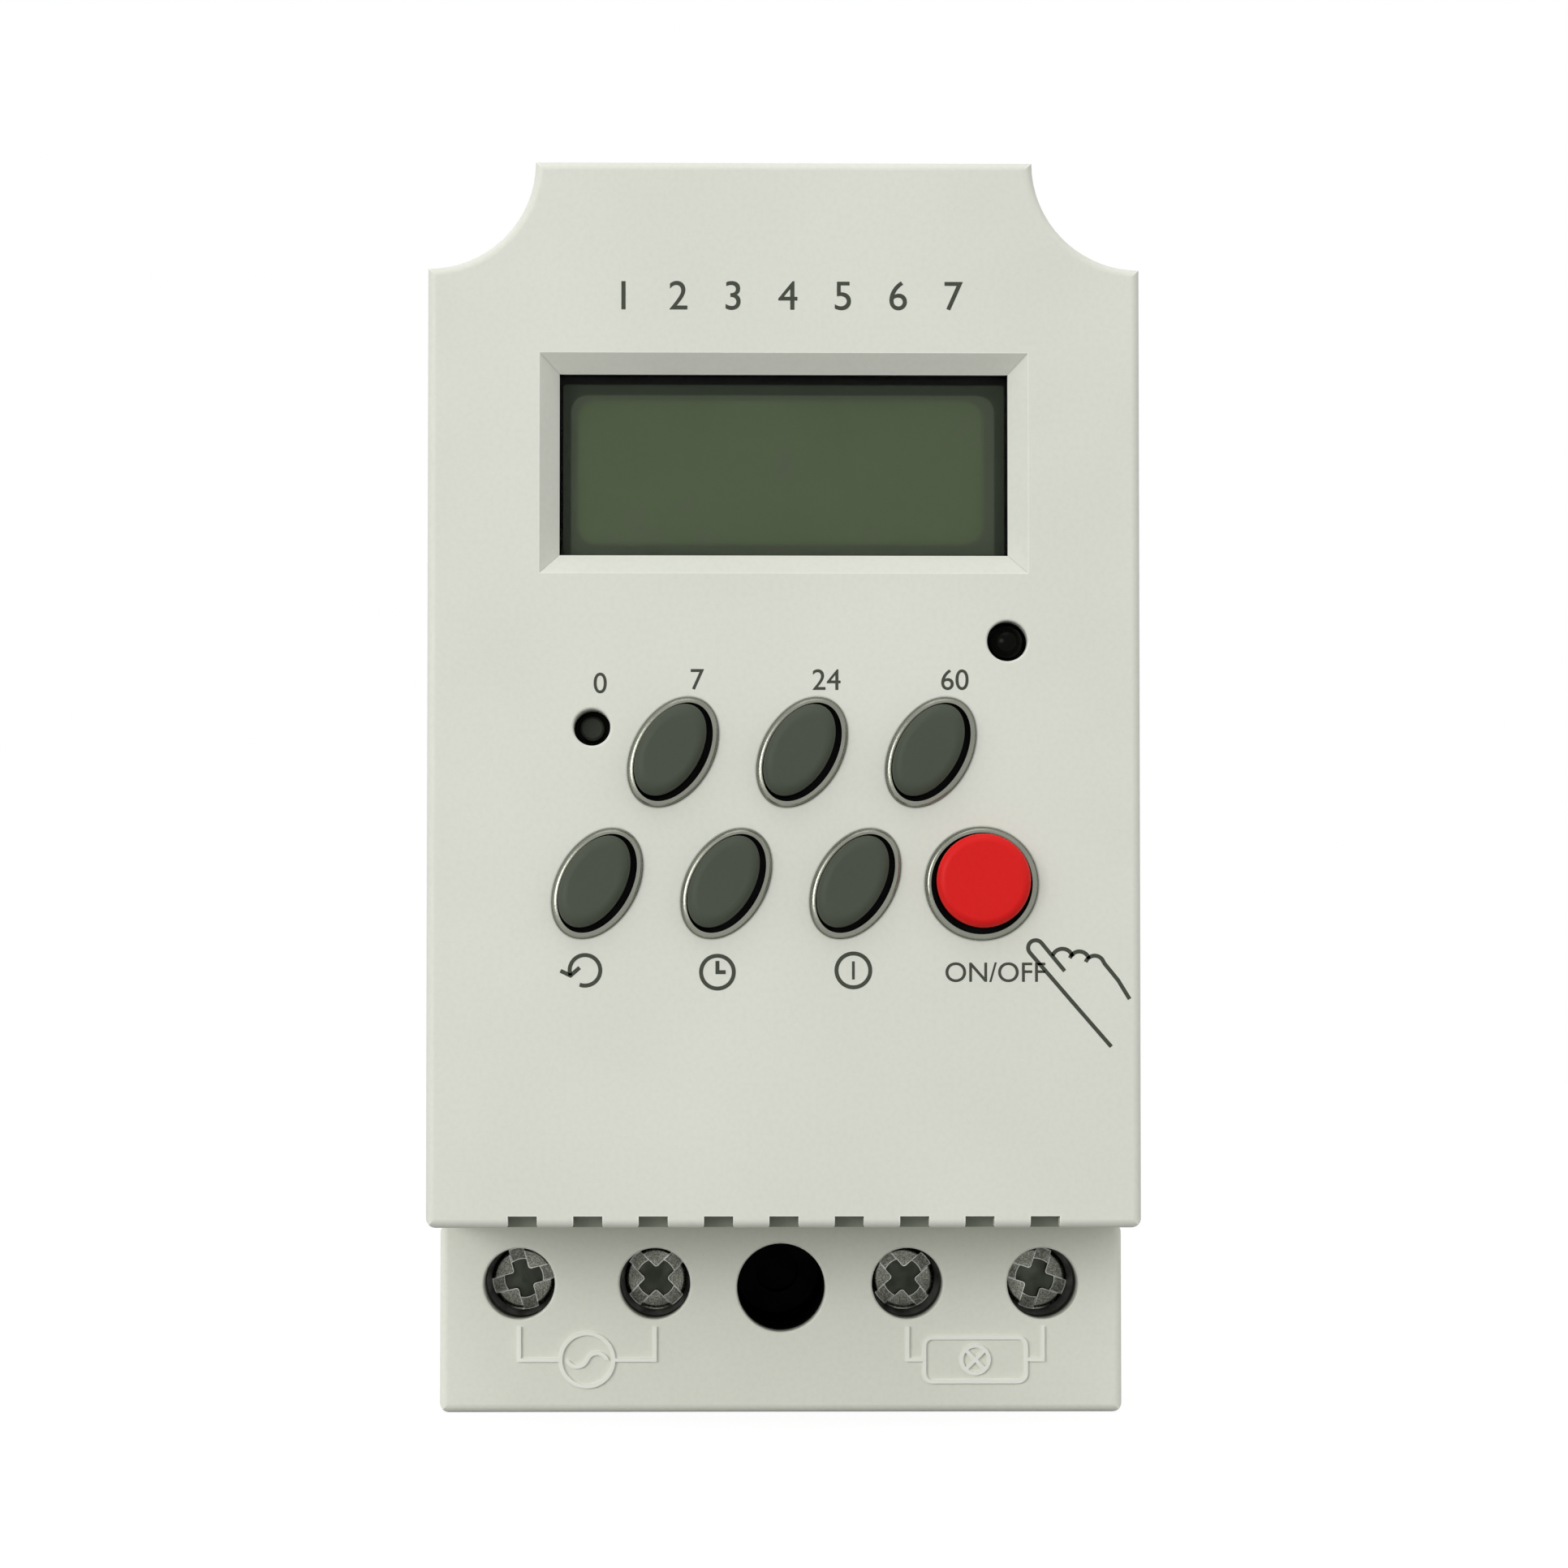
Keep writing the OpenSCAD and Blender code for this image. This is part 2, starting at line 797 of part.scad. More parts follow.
module rear_base() {
  color(plastic)
    difference() {
      union() {
        base_body();
        rod(0, fixing_z, channel_y - 0.5, rear_y, fixing_boss_r);
        slab(channel_y - 0.5, neck_y)
          translate([-fixing_boss_r + 1, fixing_z])
            square([2 * fixing_boss_r - 2, spring_seat_z - fixing_z]);
      }
      rod(0, fixing_z, seam_y - past, channel_y - wall, shaft_r);
      rod(0, fixing_z, seam_y, rear_y - knock_t, fixing_r);
      for (s = [-1, 1]) {
        for (z = post_z) {
          rod(s * post_x, z, seam_y - past, rear_y + past, case_screw_r + 0.3);
          rod(s * post_x, z, head_seat_y, rear_y + past, case_head_r + fit);
        }
        for (z = power_boss_z)
          rod(s * power_boss_x, z, power_y - past, power_y + 6, board_screw_r + thread_gap);
      }
      for (x = terminal_xs) {
        rod(x, terminal_z, bar_y, bar_y + bar_t + 10, screw_r + 1.5);
        translate([x - sign(x) * tail_in - tail_w / 2 - 0.5, seam_y - past, low_z - past])
          cube([tail_w + 1, past + bar_y + bar_t + 0.8 - seam_y, wall + 2 * past]);
      }
      entry_cut(seam_y - past, seam_y + entry_h);
    }
}

// Terminal block below the cover

// The block's upper wall, next to the cover, is thinner than the others
module block_outline(side, upper) {
  high = low_z - seam_gap - upper;
  low = bottom_z + side;
  translate([0, (high + low) / 2])
    rounded(base_w - 2 * side, high - low, max(corner_r - side, 0.3));
}

module sign_ring(r) {
  difference() {
    circle(r = r + sign_w / 2);
    circle(r = r - sign_w / 2);
  }
}

// A line of a sign between two places, along X or Z
module sign_line(from, to) {
  low = [min(from[0], to[0]), min(from[1], to[1])];
  size = [abs(to[0] - from[0]), abs(to[1] - from[1])];
  translate(low - [sign_w / 2, sign_w / 2])
    square(size + [sign_w, sign_w]);
}

// The leads from a pair of terminals to a sign between them
module sign_leads(first, second, half) {
  middle = (first + second) / 2;
  top = terminal_z - well_r - 0.9;
  for (s = [[first, -1], [second, 1]]) {
    sign_line([s[0], sign_z], [s[0], top]);
    sign_line([s[0], sign_z], [middle + s[1] * half, sign_z]);
  }
}

// A wave in a ring: its two halves are arcs that meet in the middle
module supply_sign() {
  ring_r = 2.6;
  wave_half = 0.98;
  wave_h = 0.66;
  wave_r = (wave_half * wave_half + wave_h * wave_h) / (2 * wave_h);
  reach = wave_r + sign_w;
  sign_leads(terminal_xs[0], terminal_xs[1], ring_r);
  translate([(terminal_xs[0] + terminal_xs[1]) / 2, sign_z]) {
    sign_ring(ring_r);
    for (turn = [0, 180])
      rotate(turn)
        intersection() {
          translate([wave_half, wave_h - wave_r])
            sign_ring(wave_r);
          translate([wave_half - reach, 0])
            square([2 * reach, reach]);
        }
  }
}

module lamp_sign() {
  box_w = 10;
  box_h = 4.3;
  box_r = 0.8;
  lamp_r = 1.35;
  sign_leads(terminal_xs[2], terminal_xs[3], box_w / 2);
  translate([(terminal_xs[2] + terminal_xs[3]) / 2, sign_z]) {
    difference() {
      rounded(box_w + sign_w, box_h + sign_w, box_r + sign_w / 2);
      rounded(box_w - sign_w, box_h - sign_w, box_r - sign_w / 2);
    }
    sign_ring(lamp_r);
    for (turn = [45, -45])
      rotate(turn)
        square([2 * lamp_r, sign_w], center = true);
  }
}

module terminal_block() {
  back_y = seam_y - seam_gap;
  shelf_back = shelf_y + wall;
  color(plastic)
    difference() {
      union() {
        difference() {
          slab(shelf_y, back_y)
            block_outline(0, 0);
          slab(shelf_back, seam_y)
            block_outline(wall, block_wall);
        }
        slab(shelf_y - sign_h, shelf_y + 0.5) {
          supply_sign();
          lamp_sign();
        }
        for (x = terminal_xs)
          rod(x, terminal_z, shelf_back - 0.5, well_end_y, well_r + well_wall);
        rod(0, fixing_z, shelf_back - 0.5, back_y, shaft_r + shaft_wall);
        for (s = [-1, 1]) {
          slab(shelf_back - 0.5, back_y)
            translate([s * (terminal_in + terminal_out) / 2 - 0.7, bottom_z + 0.5])
              square([1.4, low_z - seam_gap - bottom_z - 1]);
          slab(shelf_back - 0.5, seam_y + 6)
            translate([s * (base_w / 2 - wall - fit - 0.7) - 0.7, bottom_z + wall + fit])
              square([1.4, terminal_z - 5.5 - fit - bottom_z - wall - fit]);
        }
      }
      round_sides(base_w, bottom_z, low_z, shelf_y, edge_r, 1);
      round_low(base_w, bottom_z, shelf_y, edge_r, 1);
      for (x = terminal_xs) {
        rod(x, terminal_z, shelf_y - past, well_end_y + past, well_r);
        rim_cut(x, terminal_z, shelf_y, well_r);
      }
      rod(0, fixing_z, shelf_y - past, seam_y, shaft_r);
      rim_cut(0, fixing_z, shelf_y, shaft_r);
      entry_cut(seam_y - entry_h, seam_y);
    }
}

// Rail latch

module din_latch() {
  low = bottom_z + latch_rise;
  high = -groove_half + hook_lap;
  slot_h = 1.6;
  color(plastic)
    difference() {
      union() {
        slab(latch_y, latch_y + latch_t)
          translate([-latch_w / 2, low])
            square([latch_w, -groove_half - 1 - low]);
        along_x(latch_neck)
          polygon([
            [latch_y, low], [neck_y, low], [neck_y, -groove_half - 2],
            [latch_y + latch_t, high - 0.4], [latch_y + latch_t - 0.4, high], [latch_y, high]
          ]);
      }
      slab(channel_y, rear_y) {
        translate([-slot_w / 2, slot_low])
          square([slot_w, slot_top - slot_low]);
        translate([-3, low + 1.6])
          square([6, slot_h]);
      }
    }
}

// Points of the latch spring's middle line: a helix with a short straight piece at each end
steps = 8;
function spring_turn(i) = 360 * i / steps;
function spring_on(i) =
  [
    spring_r * cos(spring_turn(i)),
    spring_y + spring_r * sin(spring_turn(i)),
    spring_low + spring_wire + (spring_len - 2 * spring_wire) * i / (steps * spring_turns)
  ];
function spring_along(i) =
  [
    -sin(spring_turn(i)),
    cos(spring_turn(i)),
    (spring_len - 2 * spring_wire) / (2 * PI * spring_r * spring_turns)
  ];
function spring_end(i, dir) = spring_on(i) + dir * 2 * spring_wire * spring_along(i) / norm(spring_along(i));

module latch_spring() {
  sides = 6;
  count = steps * spring_turns;
  middle = concat([spring_end(0, -1)], [for (i = [0 : count]) spring_on(i)], [spring_end(count, 1)]);
  turns = concat([0], [for (i = [0 : count]) spring_turn(i)], [spring_turn(count)]);
  rings = len(middle);
  points = [
    for (i = [0 : rings - 1], k = [0 : sides - 1])
      middle[i] + spring_wire * (
        cos(360 * k / sides) * [cos(turns[i]), sin(turns[i]), 0] + sin(360 * k / sides) * [0, 0, 1]
      )
  ];
  faces = concat(
    [for (k = [1 : sides - 2]) [0, k + 1, k]],
    [
      for (i = [0 : rings - 2], k = [0 : sides - 1], half = [0, 1])
        let (next = (k + 1) % sides, a = i * sides, b = a + sides)
          half == 0 ? [a + k, a + next, b + next] : [a + k, b + next, b + k]
    ],
    [for (k = [1 : sides - 2]) [(rings - 1) * sides, (rings - 1) * sides + k, (rings - 1) * sides + k + 1]]
  );
  least = min([
    for (i = [0 : count - steps / 2], j = [i + steps / 2 : count])
      norm(spring_on(i) - spring_on(j)) - 2 * spring_wire
  ]);
  echo("latch spring, least gap to itself", least);
  color(steel)
    polyhedron(points, faces, convexity = 10);
}

// Screws

module machine_screw(x, z, y_seat, y_end, r, head, thick) {
  facing(x, z) {
    translate([0, 0, -y_seat]) {
      difference() {
        puck(head, head, thick, thick * 0.4);
        for (turn = [0, 90])
          rotate(turn)
            translate([-head * 0.6, -0.3, thick * 0.5])
              cube([head * 1.2, 0.6, thick]);
      }
    }
    translate([0, 0, -y_end])
      cylinder(h = y_end - y_seat + 0.2, r = r);
  }
}

module case_screws() {
  color(steel)
    for (s = [-1, 1], z = post_z)
      translate([0, head_seat_y, 0])
        mirror([0, 1, 0])
          machine_screw(s * post_x, z, 0, head_seat_y - case_screw_end, case_screw_r, case_head_r, 1.8);
}

module board_screws() {
  seat = board_y + board_t;
  color(steel)
    for (s = [-1, 1], z = control_boss_z)
      translate([0, seat, 0])
        mirror([0, 1, 0])
          machine_screw(s * control_boss_x, z, 0, board_t + 5.5, board_screw_r, 1.9 * board_screw_r, 1.3);
}

module power_board_screws() {
  color(steel)
    for (s = [-1, 1], z = power_boss_z)
      machine_screw(s * power_boss_x, z, power_front, power_y + 5, board_screw_r, 1.9 * board_screw_r, 1.3);
}

// Display

module display_window() {
  color([0.8, 0.85, 0.8, 0.4])
    slab(plate_y, plate_y + pane_t)
      translate([0, window_z])
        square([window_w + 2 * pane_lap, window_h + 2 * pane_lap], center = true);
}

module lcd_panel() {
  step = 1.1;
  color([0.30, 0.35, 0.26]) {
    slab(lcd_y, lcd_y + lcd_t)
      translate([0, window_z])
        square([lcd_w - 0.6, lcd_h - 2.2], center = true);
    slab(lcd_y, lcd_y + step)
      translate([0, window_z])
        square([lcd_w, lcd_h], center = true);
  }
}

module lcd_frame() {
  ledge_y = lcd_y + lcd_t;
  color(black)
    difference() {
      slab(lcd_y, board_y)
        translate([0, window_z])
          square([frame_w, frame_h], center = true);
      slab(lcd_y - past, ledge_y)
        translate([0, window_z])
          square([lcd_w + 2 * fit, lcd_h + 2 * fit], center = true);
      slab(lcd_y, board_y + past)
        translate([0, window_z]) {
          square([lcd_w - 6, 2 * zebra_z - zebra_t - 2], center = true);
          for (s = [-1, 1])
            translate([0, s * zebra_z])
              square([lcd_w - 5, zebra_t + 2 * fit], center = true);
        }
    }
}

module zebra_strips() {
  color([0.25, 0.25, 0.25])
    for (s = [-1, 1])
      slab(lcd_y + lcd_t, board_y)
        translate([0, window_z + s * zebra_z])
          square([lcd_w - 5.4, zebra_t], center = true);
}

// Control board and what stands on it

module control_board() {
  color(board_green)
    slab(board_y, board_y + board_t)
      difference() {
        translate([-control_w / 2, control_z[0]])
          square([control_w, control_z[1] - control_z[0]]);
        for (s = [-1, 1], z = control_boss_z)
          translate([s * control_boss_x, z])
            circle(r = board_screw_r + 0.3);
      }
}

module key_switch(x, z) {
  facing(x, z)
    translate([0, 0, -board_y])
      difference() {
        translate([-switch_w / 2, -switch_w / 2, 0])
          cube([switch_w, switch_w, switch_h]);
        translate([0, 0, switch_floor])
          cylinder(h = switch_h - switch_floor - switch_lid, r = plunger_rim_r + 0.3);
        translate([0, 0, switch_floor])
          cylinder(h = switch_h, r = plunger_r + 0.3);
      }
}

module key_switches() {
  color(black) {
    for (at = keys)
      key_switch(at[0], at[1]);
    key_switch(reset_x, reset_z);
  }
}

module plunger(at) {
  color([0.15, 0.15, 0.15])
    facing(at[0], at[1])
      translate([0, 0, -rim_y - plunger_rim_t])
        rotate_extrude()
          polygon([
            [0, 0], [plunger_rim_r, 0], [plunger_rim_r, plunger_rim_t], [plunger_r, plunger_rim_t],
            [plunger_r, rim_y + plunger_rim_t - plunger_y], [0, rim_y + plunger_rim_t - plunger_y]
          ]);
}

module key_cap(at, tint) {
  a = at[2];
  b = at[3];
  low = -flange_y - flange_t;
  high = front_d + key_rise;
  lap = key_gap + sleeve_t + key_lap;
  color(tint)
    facing(at[0], at[1])
      rotate(key_tilt)
        translate(key_off * [cos(at[4]), sin(at[4]), 0]) {
          difference() {
            union() {
              translate([0, 0, low])
                linear_extrude(flange_t)
                  ellipse(a + lap, b + lap);
              translate([0, 0, low])
                puck(a, b, high - low, key_edge);
            }
            translate([0, 0, low - past])
              linear_extrude(high - key_skin - low + past)
                ellipse(a - key_skin, b - key_skin);
          }
          translate([0, 0, -plunger_y])
            cylinder(h = high - key_skin / 2 + plunger_y, r = plunger_r - 0.3);
        }
}

module key_reset() {
  stem_top = -front_y - reset_sink;
  color(black)
    facing(reset_x, reset_z)
      translate([0, 0, -rim_y - plunger_rim_t])
        rotate_extrude()
          polygon([
            [0, 0], [plunger_rim_r, 0], [plunger_rim_r, plunger_rim_t], [plunger_r, plunger_rim_t],
            [plunger_r, rim_y + plunger_rim_t - plunger_y], [reset_r, rim_y + plunger_rim_t - plunger_y],
            [reset_r, stem_top + rim_y + plunger_rim_t - 0.2],
            [reset_r - 0.2, stem_top + rim_y + plunger_rim_t], [0, stem_top + rim_y + plunger_rim_t]
          ]);
}

module indicator_led() {
  rim_r = led_r + 0.35;
  rim_low = -plate_y - 3.4;
  color(black)
    facing(led_x, led_z) {
      translate([0, 0, rim_low])
        cylinder(h = 1, r = rim_r);
      translate([0, 0, rim_low])
        cylinder(h = front_d - 0.15 - led_r - rim_low, r = led_r);
      translate([0, 0, front_d - 0.15 - led_r])
        sphere(r = led_r);
      for (s = [-1, 1])
        translate([s * 1.27 - 0.25, -0.25, -board_y])
          cube([0.5, 0.5, rim_low + board_y + 0.3]);
    }
}

module controller_chip() {
  color(black)
    translate([10, board_y + board_t, 8])
      rotate([-90, 0, 0])
        rotate_extrude()
          intersection() {
            translate([0, chip_dome_h - chip_dome_r])
              circle(r = chip_dome_r, $fn = 180);
            square([chip_dome_r, chip_dome_h]);
          }
}

module clock_crystal() {
  color(steel)
    translate([6, board_y + board_t + crystal_r, -8]) {
      rotate([0, 90, 0])
        cylinder(h = crystal_len, r = crystal_r);
      for (s = [-1, 1])
        translate([-2.5, -0.2, s * 0.6 - 0.2])
          cube([2.7, 0.4, 0.4]);
      for (s = [-1, 1])
        translate([-2.5, -crystal_r, s * 0.6 - 0.2])
          cube([0.4, crystal_r + 0.2, 0.4]);
    }
}

module backup_cell() {
  color(steel)
    translate([-13, board_y + board_t, -12])
      rotate([-90, 0, 0]) {
        cylinder(h = cell_t - cell_step, r = cell_r);
        translate([0, 0, cell_t - cell_step - 0.01])
          cylinder(h = cell_step + 0.01, r = cell_r - cell_step);
      }
}

module board_link() {
  back = board_y + board_t;
  link_z = -31;
  color(black) {
    for (y = [back, power_front - link_t])
      slab(y, y + link_t)
        translate([0, link_z])
          square([link_pins * link_pitch, link_t], center = true);
    slab(back, power_front)
      for (i = [0 : link_pins - 1])
        translate([(i - (link_pins - 1) / 2) * link_pitch, link_z])
          square(pin_w, center = true);
  }
}

// Power board and what stands on it

module power_board() {
  color(board_green)
    slab(power_front, power_y)
      difference() {
        translate([-power_w / 2, power_z[0]])
          square([power_w, power_z[1] - power_z[0]]);
        for (s = [-1, 1], z = power_boss_z)
          translate([s * power_boss_x, z])
            circle(r = board_screw_r + 0.3);
      }
}

// Stands children on the power board, with their Z away from it
module on_power_board(x, z) {
  facing(x, z)
    translate([0, 0, -power_front])
      children();
}

module relay() {
  color([0.12, 0.2, 0.45])
    on_power_board(10, -15) {
      linear_extrude(relay_h)
        rounded(relay_w, relay_l, 0.8);
      translate([0, 0, relay_h - 0.1])
        linear_extrude(relay_step + 0.1)
          rounded(relay_w - 2 * relay_step, relay_l - 2 * relay_step, 0.8);
    }
}

module dropper_capacitor() {
  color([0.75, 0.6, 0.15])
    on_power_board(-6, 22)
      linear_extrude(dropper_h)
        rounded(dropper_w, dropper_t, 0.7);
}

module smoothing_capacitor() {
  color([0.15, 0.18, 0.3])
    on_power_board(-14, -14)
      rotate_extrude()
        polygon([
          [0, 0], [smoother_r - 0.3, 0], [smoother_r, 0.4], [smoother_r, crimp_z - crimp_half],
          [smoother_r - crimp_d, crimp_z - crimp_flat], [smoother_r - crimp_d, crimp_z + crimp_flat],
          [smoother_r, crimp_z + crimp_half], [smoother_r, smoother_h - 0.5],
          [smoother_r - 0.5, smoother_h], [0, smoother_h]
        ]);
}

// A part that lies on its two bent leads
module axial_part(x, z, r, length, lead_r, span) {
  on_power_board(x, z)
    translate([0, 0, r]) {
      translate([0, -length / 2, 0])
        rotate([-90, 0, 0])
          cylinder(h = length, r = r);
      translate([0, -span / 2, 0])
        rotate([-90, 0, 0])
          cylinder(h = span, r = lead_r);
      for (s = [-1, 1])
        translate([0, s * span / 2, -r])
          cylinder(h = r + lead_r, r = lead_r);
    }
}

module rectifier_diodes() {
  color(black)
    for (i = [0 : 3])
      axial_part(power_w / 2 - diode_edge - i * diode_pitch, diode_z, diode_r, diode_len, diode_lead, diode_span);
}

module resistors() {
  color([0.7, 0.6, 0.45])
    for (i = [0 : 2])
      axial_part(
        (i + 1) * resistor_pitch - power_w / 2, 4, resistor_r, resistor_len, resistor_lead, resistor_span
      );
}

module varistor() {
  color([0.15, 0.25, 0.6])
    on_power_board(6, 4) {
      translate([0, varistor_t / 2, varistor_r + varistor_lift])
        rotate([90, 0, 0])
          cylinder(h = varistor_t, r = varistor_r);
      for (s = [-1, 1])
        translate([s * 2.5, 0, 0])
          cylinder(h = 2 * varistor_lift, r = 0.4);
    }
}

module regulator() {
  color(black)
    on_power_board(18, 4) {
      translate([0, 0, regulator_lift])
        linear_extrude(regulator_h)
          intersection() {
            circle(r = regulator_r);
            translate([-3, -1.2])
              square([6, 4]);
          }
      for (i = [-1 : 1])
        translate([i * 1.27 - 0.25, -0.25, 0])
          cube([0.5, 0.5, regulator_lift + 0.5]);
    }
}

// Terminals

module terminal_bar(x) {
  tail_x = x - sign(x) * tail_in;
  low = terminal_z - 5;
  color(brass)
    difference() {
      union() {
        slab(bar_y, bar_y + bar_t) {
          translate([x - bar_w / 2, low])
            square([bar_w, 10]);
          translate([tail_x - tail_w / 2, low])
            square([tail_w, tail_top - low]);
        }
        slab(bar_y, power_front)
          translate([tail_x - tail_w / 2, tail_top - 1])
            square([tail_w, 1]);
        rod(x, terminal_z, bar_y + bar_t - 0.5, bar_y + bar_t + 3, screw_r + 1);
      }
      rod(x, terminal_z, bar_y - past, bar_y + bar_t + 3 + past, screw_r + thread_gap);
    }
}

module terminal_bars() {
  for (x = terminal_xs)
    terminal_bar(x);
}

module clamp_plate(i) {
  color(steel)
    difference() {
      union() {
        slab(head_y, clamp_y)
          translate([terminal_xs[i], terminal_z])
            rounded(clamp_side, clamp_side, 0.6);
        for (s = [-1, 1])
          translate([terminal_xs[i], clamp_y, terminal_z + s * (clamp_side / 2 - 1.2)])
            along_x(clamp_side - 2)
              circle(r = 0.25);
      }
      rod(terminal_xs[i], terminal_z, head_y - past, clamp_y + past, screw_r + 0.15);
    }
}

// The cross in a screw head, with the corners of its four lands rounded
module cross_outline() {
  corner = 0.3;
  for (turn = [0, 90])
    rotate(turn)
      square([2 * head_r + 2 * past, cross_w], center = true);
  for (turn = [0 : 90 : 270])
    rotate(turn)
      translate([cross_w / 2, cross_w / 2])
        round_cut(corner);
}

module terminal_screw(i) {
  color(steel)
    facing(terminal_xs[i], terminal_z)
      rotate(terminal_turns[i]) {
        translate([0, 0, -head_y])
          difference() {
            puck(head_r, head_r, head_h, head_edge);
            translate([0, 0, head_h - cross_rim_d])
              linear_extrude(cross_rim_d + past)
                cross_outline();
            translate([0, 0, head_h - cross_d])
              linear_extrude(cross_d + past)
                intersection() {
                  cross_outline();
                  circle(r = cross_reach);
                }
          }
        translate([0, 0, -bar_y - bar_t - 7.5])
          cylinder(h = bar_y + bar_t + 7.5 - head_y + 0.2, r = screw_r);
      }
}

module key_day() { key_cap(day_at, grey_key); }
module key_hour() { key_cap(hour_at, grey_key); }
module key_minute() { key_cap(minute_at, grey_key); }
module key_recall() { key_cap(recall_at, grey_key); }
module key_clock() { key_cap(clock_at, grey_key); }
module key_program() { key_cap(program_at, grey_key); }
module key_manual() { key_cap(manual_at, [0.8, 0.16, 0.15]); }
module plunger_day() { plunger(day_at); }
module plunger_hour() { plunger(hour_at); }
module plunger_minute() { plunger(minute_at); }
module plunger_recall() { plunger(recall_at); }
module plunger_clock() { plunger(clock_at); }
module plunger_program() { plunger(program_at); }
module plunger_manual() { plunger(manual_at); }
module terminal_screw_1() { terminal_screw(0); }
module terminal_screw_2() { terminal_screw(1); }
module terminal_screw_3() { terminal_screw(2); }
module terminal_screw_4() { terminal_screw(3); }
module clamp_plate_1() { clamp_plate(0); }
module clamp_plate_2() { clamp_plate(1); }
module clamp_plate_3() { clamp_plate(2); }
module clamp_plate_4() { clamp_plate(3); }

front_cover();
key_collars();
rear_base();
terminal_block();
din_latch();
latch_spring();
case_screws();
display_window();
lcd_panel();
lcd_frame();
zebra_strips();
control_board();
board_screws();
key_switches();
key_day();
key_hour();
key_minute();
key_recall();
key_clock();
key_program();
key_manual();
key_reset();
plunger_day();
plunger_hour();
plunger_minute();
plunger_recall();
plunger_clock();
plunger_program();
plunger_manual();
indicator_led();
controller_chip();
clock_crystal();
backup_cell();
board_link();
power_board();
power_board_screws();
relay();
dropper_capacitor();
smoothing_capacitor();
rectifier_diodes();
resistors();
varistor();
regulator();
terminal_bars();
terminal_screw_1();
terminal_screw_2();
terminal_screw_3();
terminal_screw_4();
clamp_plate_1();
clamp_plate_2();
clamp_plate_3();
clamp_plate_4();
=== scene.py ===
"""Looks of the timer light switch: materials, printed marks, spring, stage, light and camera."""

import json
import math

import bmesh
import bpy
from mathutils import Euler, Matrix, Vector


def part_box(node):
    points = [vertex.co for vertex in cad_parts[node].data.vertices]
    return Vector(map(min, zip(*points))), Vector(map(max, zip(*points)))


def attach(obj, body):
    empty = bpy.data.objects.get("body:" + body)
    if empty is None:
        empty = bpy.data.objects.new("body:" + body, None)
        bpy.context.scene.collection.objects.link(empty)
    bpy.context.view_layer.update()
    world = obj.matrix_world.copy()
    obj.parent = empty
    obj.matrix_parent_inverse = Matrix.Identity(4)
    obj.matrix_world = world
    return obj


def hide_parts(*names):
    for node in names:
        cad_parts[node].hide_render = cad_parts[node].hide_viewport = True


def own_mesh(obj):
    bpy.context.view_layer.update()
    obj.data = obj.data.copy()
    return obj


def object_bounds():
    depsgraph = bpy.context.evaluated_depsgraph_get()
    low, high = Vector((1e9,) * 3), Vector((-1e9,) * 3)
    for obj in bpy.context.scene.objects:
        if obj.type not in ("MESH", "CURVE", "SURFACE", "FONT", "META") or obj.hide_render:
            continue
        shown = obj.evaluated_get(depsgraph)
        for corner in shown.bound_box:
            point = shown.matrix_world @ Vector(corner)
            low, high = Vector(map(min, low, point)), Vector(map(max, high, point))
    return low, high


MM = 0.001

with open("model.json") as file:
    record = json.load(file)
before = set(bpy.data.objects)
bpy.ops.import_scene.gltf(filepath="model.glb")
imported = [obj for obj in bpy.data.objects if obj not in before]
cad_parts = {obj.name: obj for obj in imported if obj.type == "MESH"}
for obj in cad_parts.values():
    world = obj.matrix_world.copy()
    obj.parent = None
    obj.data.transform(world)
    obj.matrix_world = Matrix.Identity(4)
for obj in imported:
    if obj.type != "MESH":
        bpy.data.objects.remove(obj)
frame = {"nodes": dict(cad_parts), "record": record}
cad_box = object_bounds()

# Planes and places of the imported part
FACE_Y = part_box("front_cover")[0][1]
FLOOR_Z = cad_box[0][2]
SHAFT_Z = -47.8 * MM
SHAFT_R = 4.33 * MM
NOTCH_IN = 2.5 * MM
NOTCH_ROW = 54 * MM
# The pane reaches this far behind the cover on each side of the opening
PANE_LAP = 2 * MM


# Colours


def srgb(red, green, blue):
    """A colour as it shows on screen, 0 to 255, in linear light."""
    shown = [value / 255 for value in (red, green, blue)]
    linear = [v / 12.92 if v <= 0.04045 else ((v + 0.055) / 1.055) ** 2.4 for v in shown]
    return (*linear, 1.0)


def shade(colour, factor):
    return (*[min(1.0, v * factor) for v in colour[:3]], 1.0)


def grey(value):
    return (value, value, value, 1.0)


WHITE = grey(1.0)
CASE = srgb(216, 218, 207)
# Paler than the case, though the shelf is the same plastic: painted light against the shade the cover
# casts on it
SHELF_LIGHTENED = srgb(229, 231, 219)
# Painted highlight on edges and on the raised signs
PAINTED_HIGHLIGHT = srgb(244, 245, 236)
# Painted shade on the back walls of the notches
NOTCH_SHADE_GREY = srgb(132, 137, 122)
# Painted shade in corners, round the key collars
CORNER_SHADE_GREY = srgb(84, 88, 78)
# Greyer patches here and there on the display
GREY_PATCH = srgb(79, 86, 71)
# Painted shade inside the wells
BORE_SHADE_GREY = srgb(22, 23, 20)
BLACK = srgb(4, 4, 3)
KEY = srgb(68, 74, 62)
RED = srgb(214, 24, 22)
INK = srgb(58, 63, 52)


# Node helpers


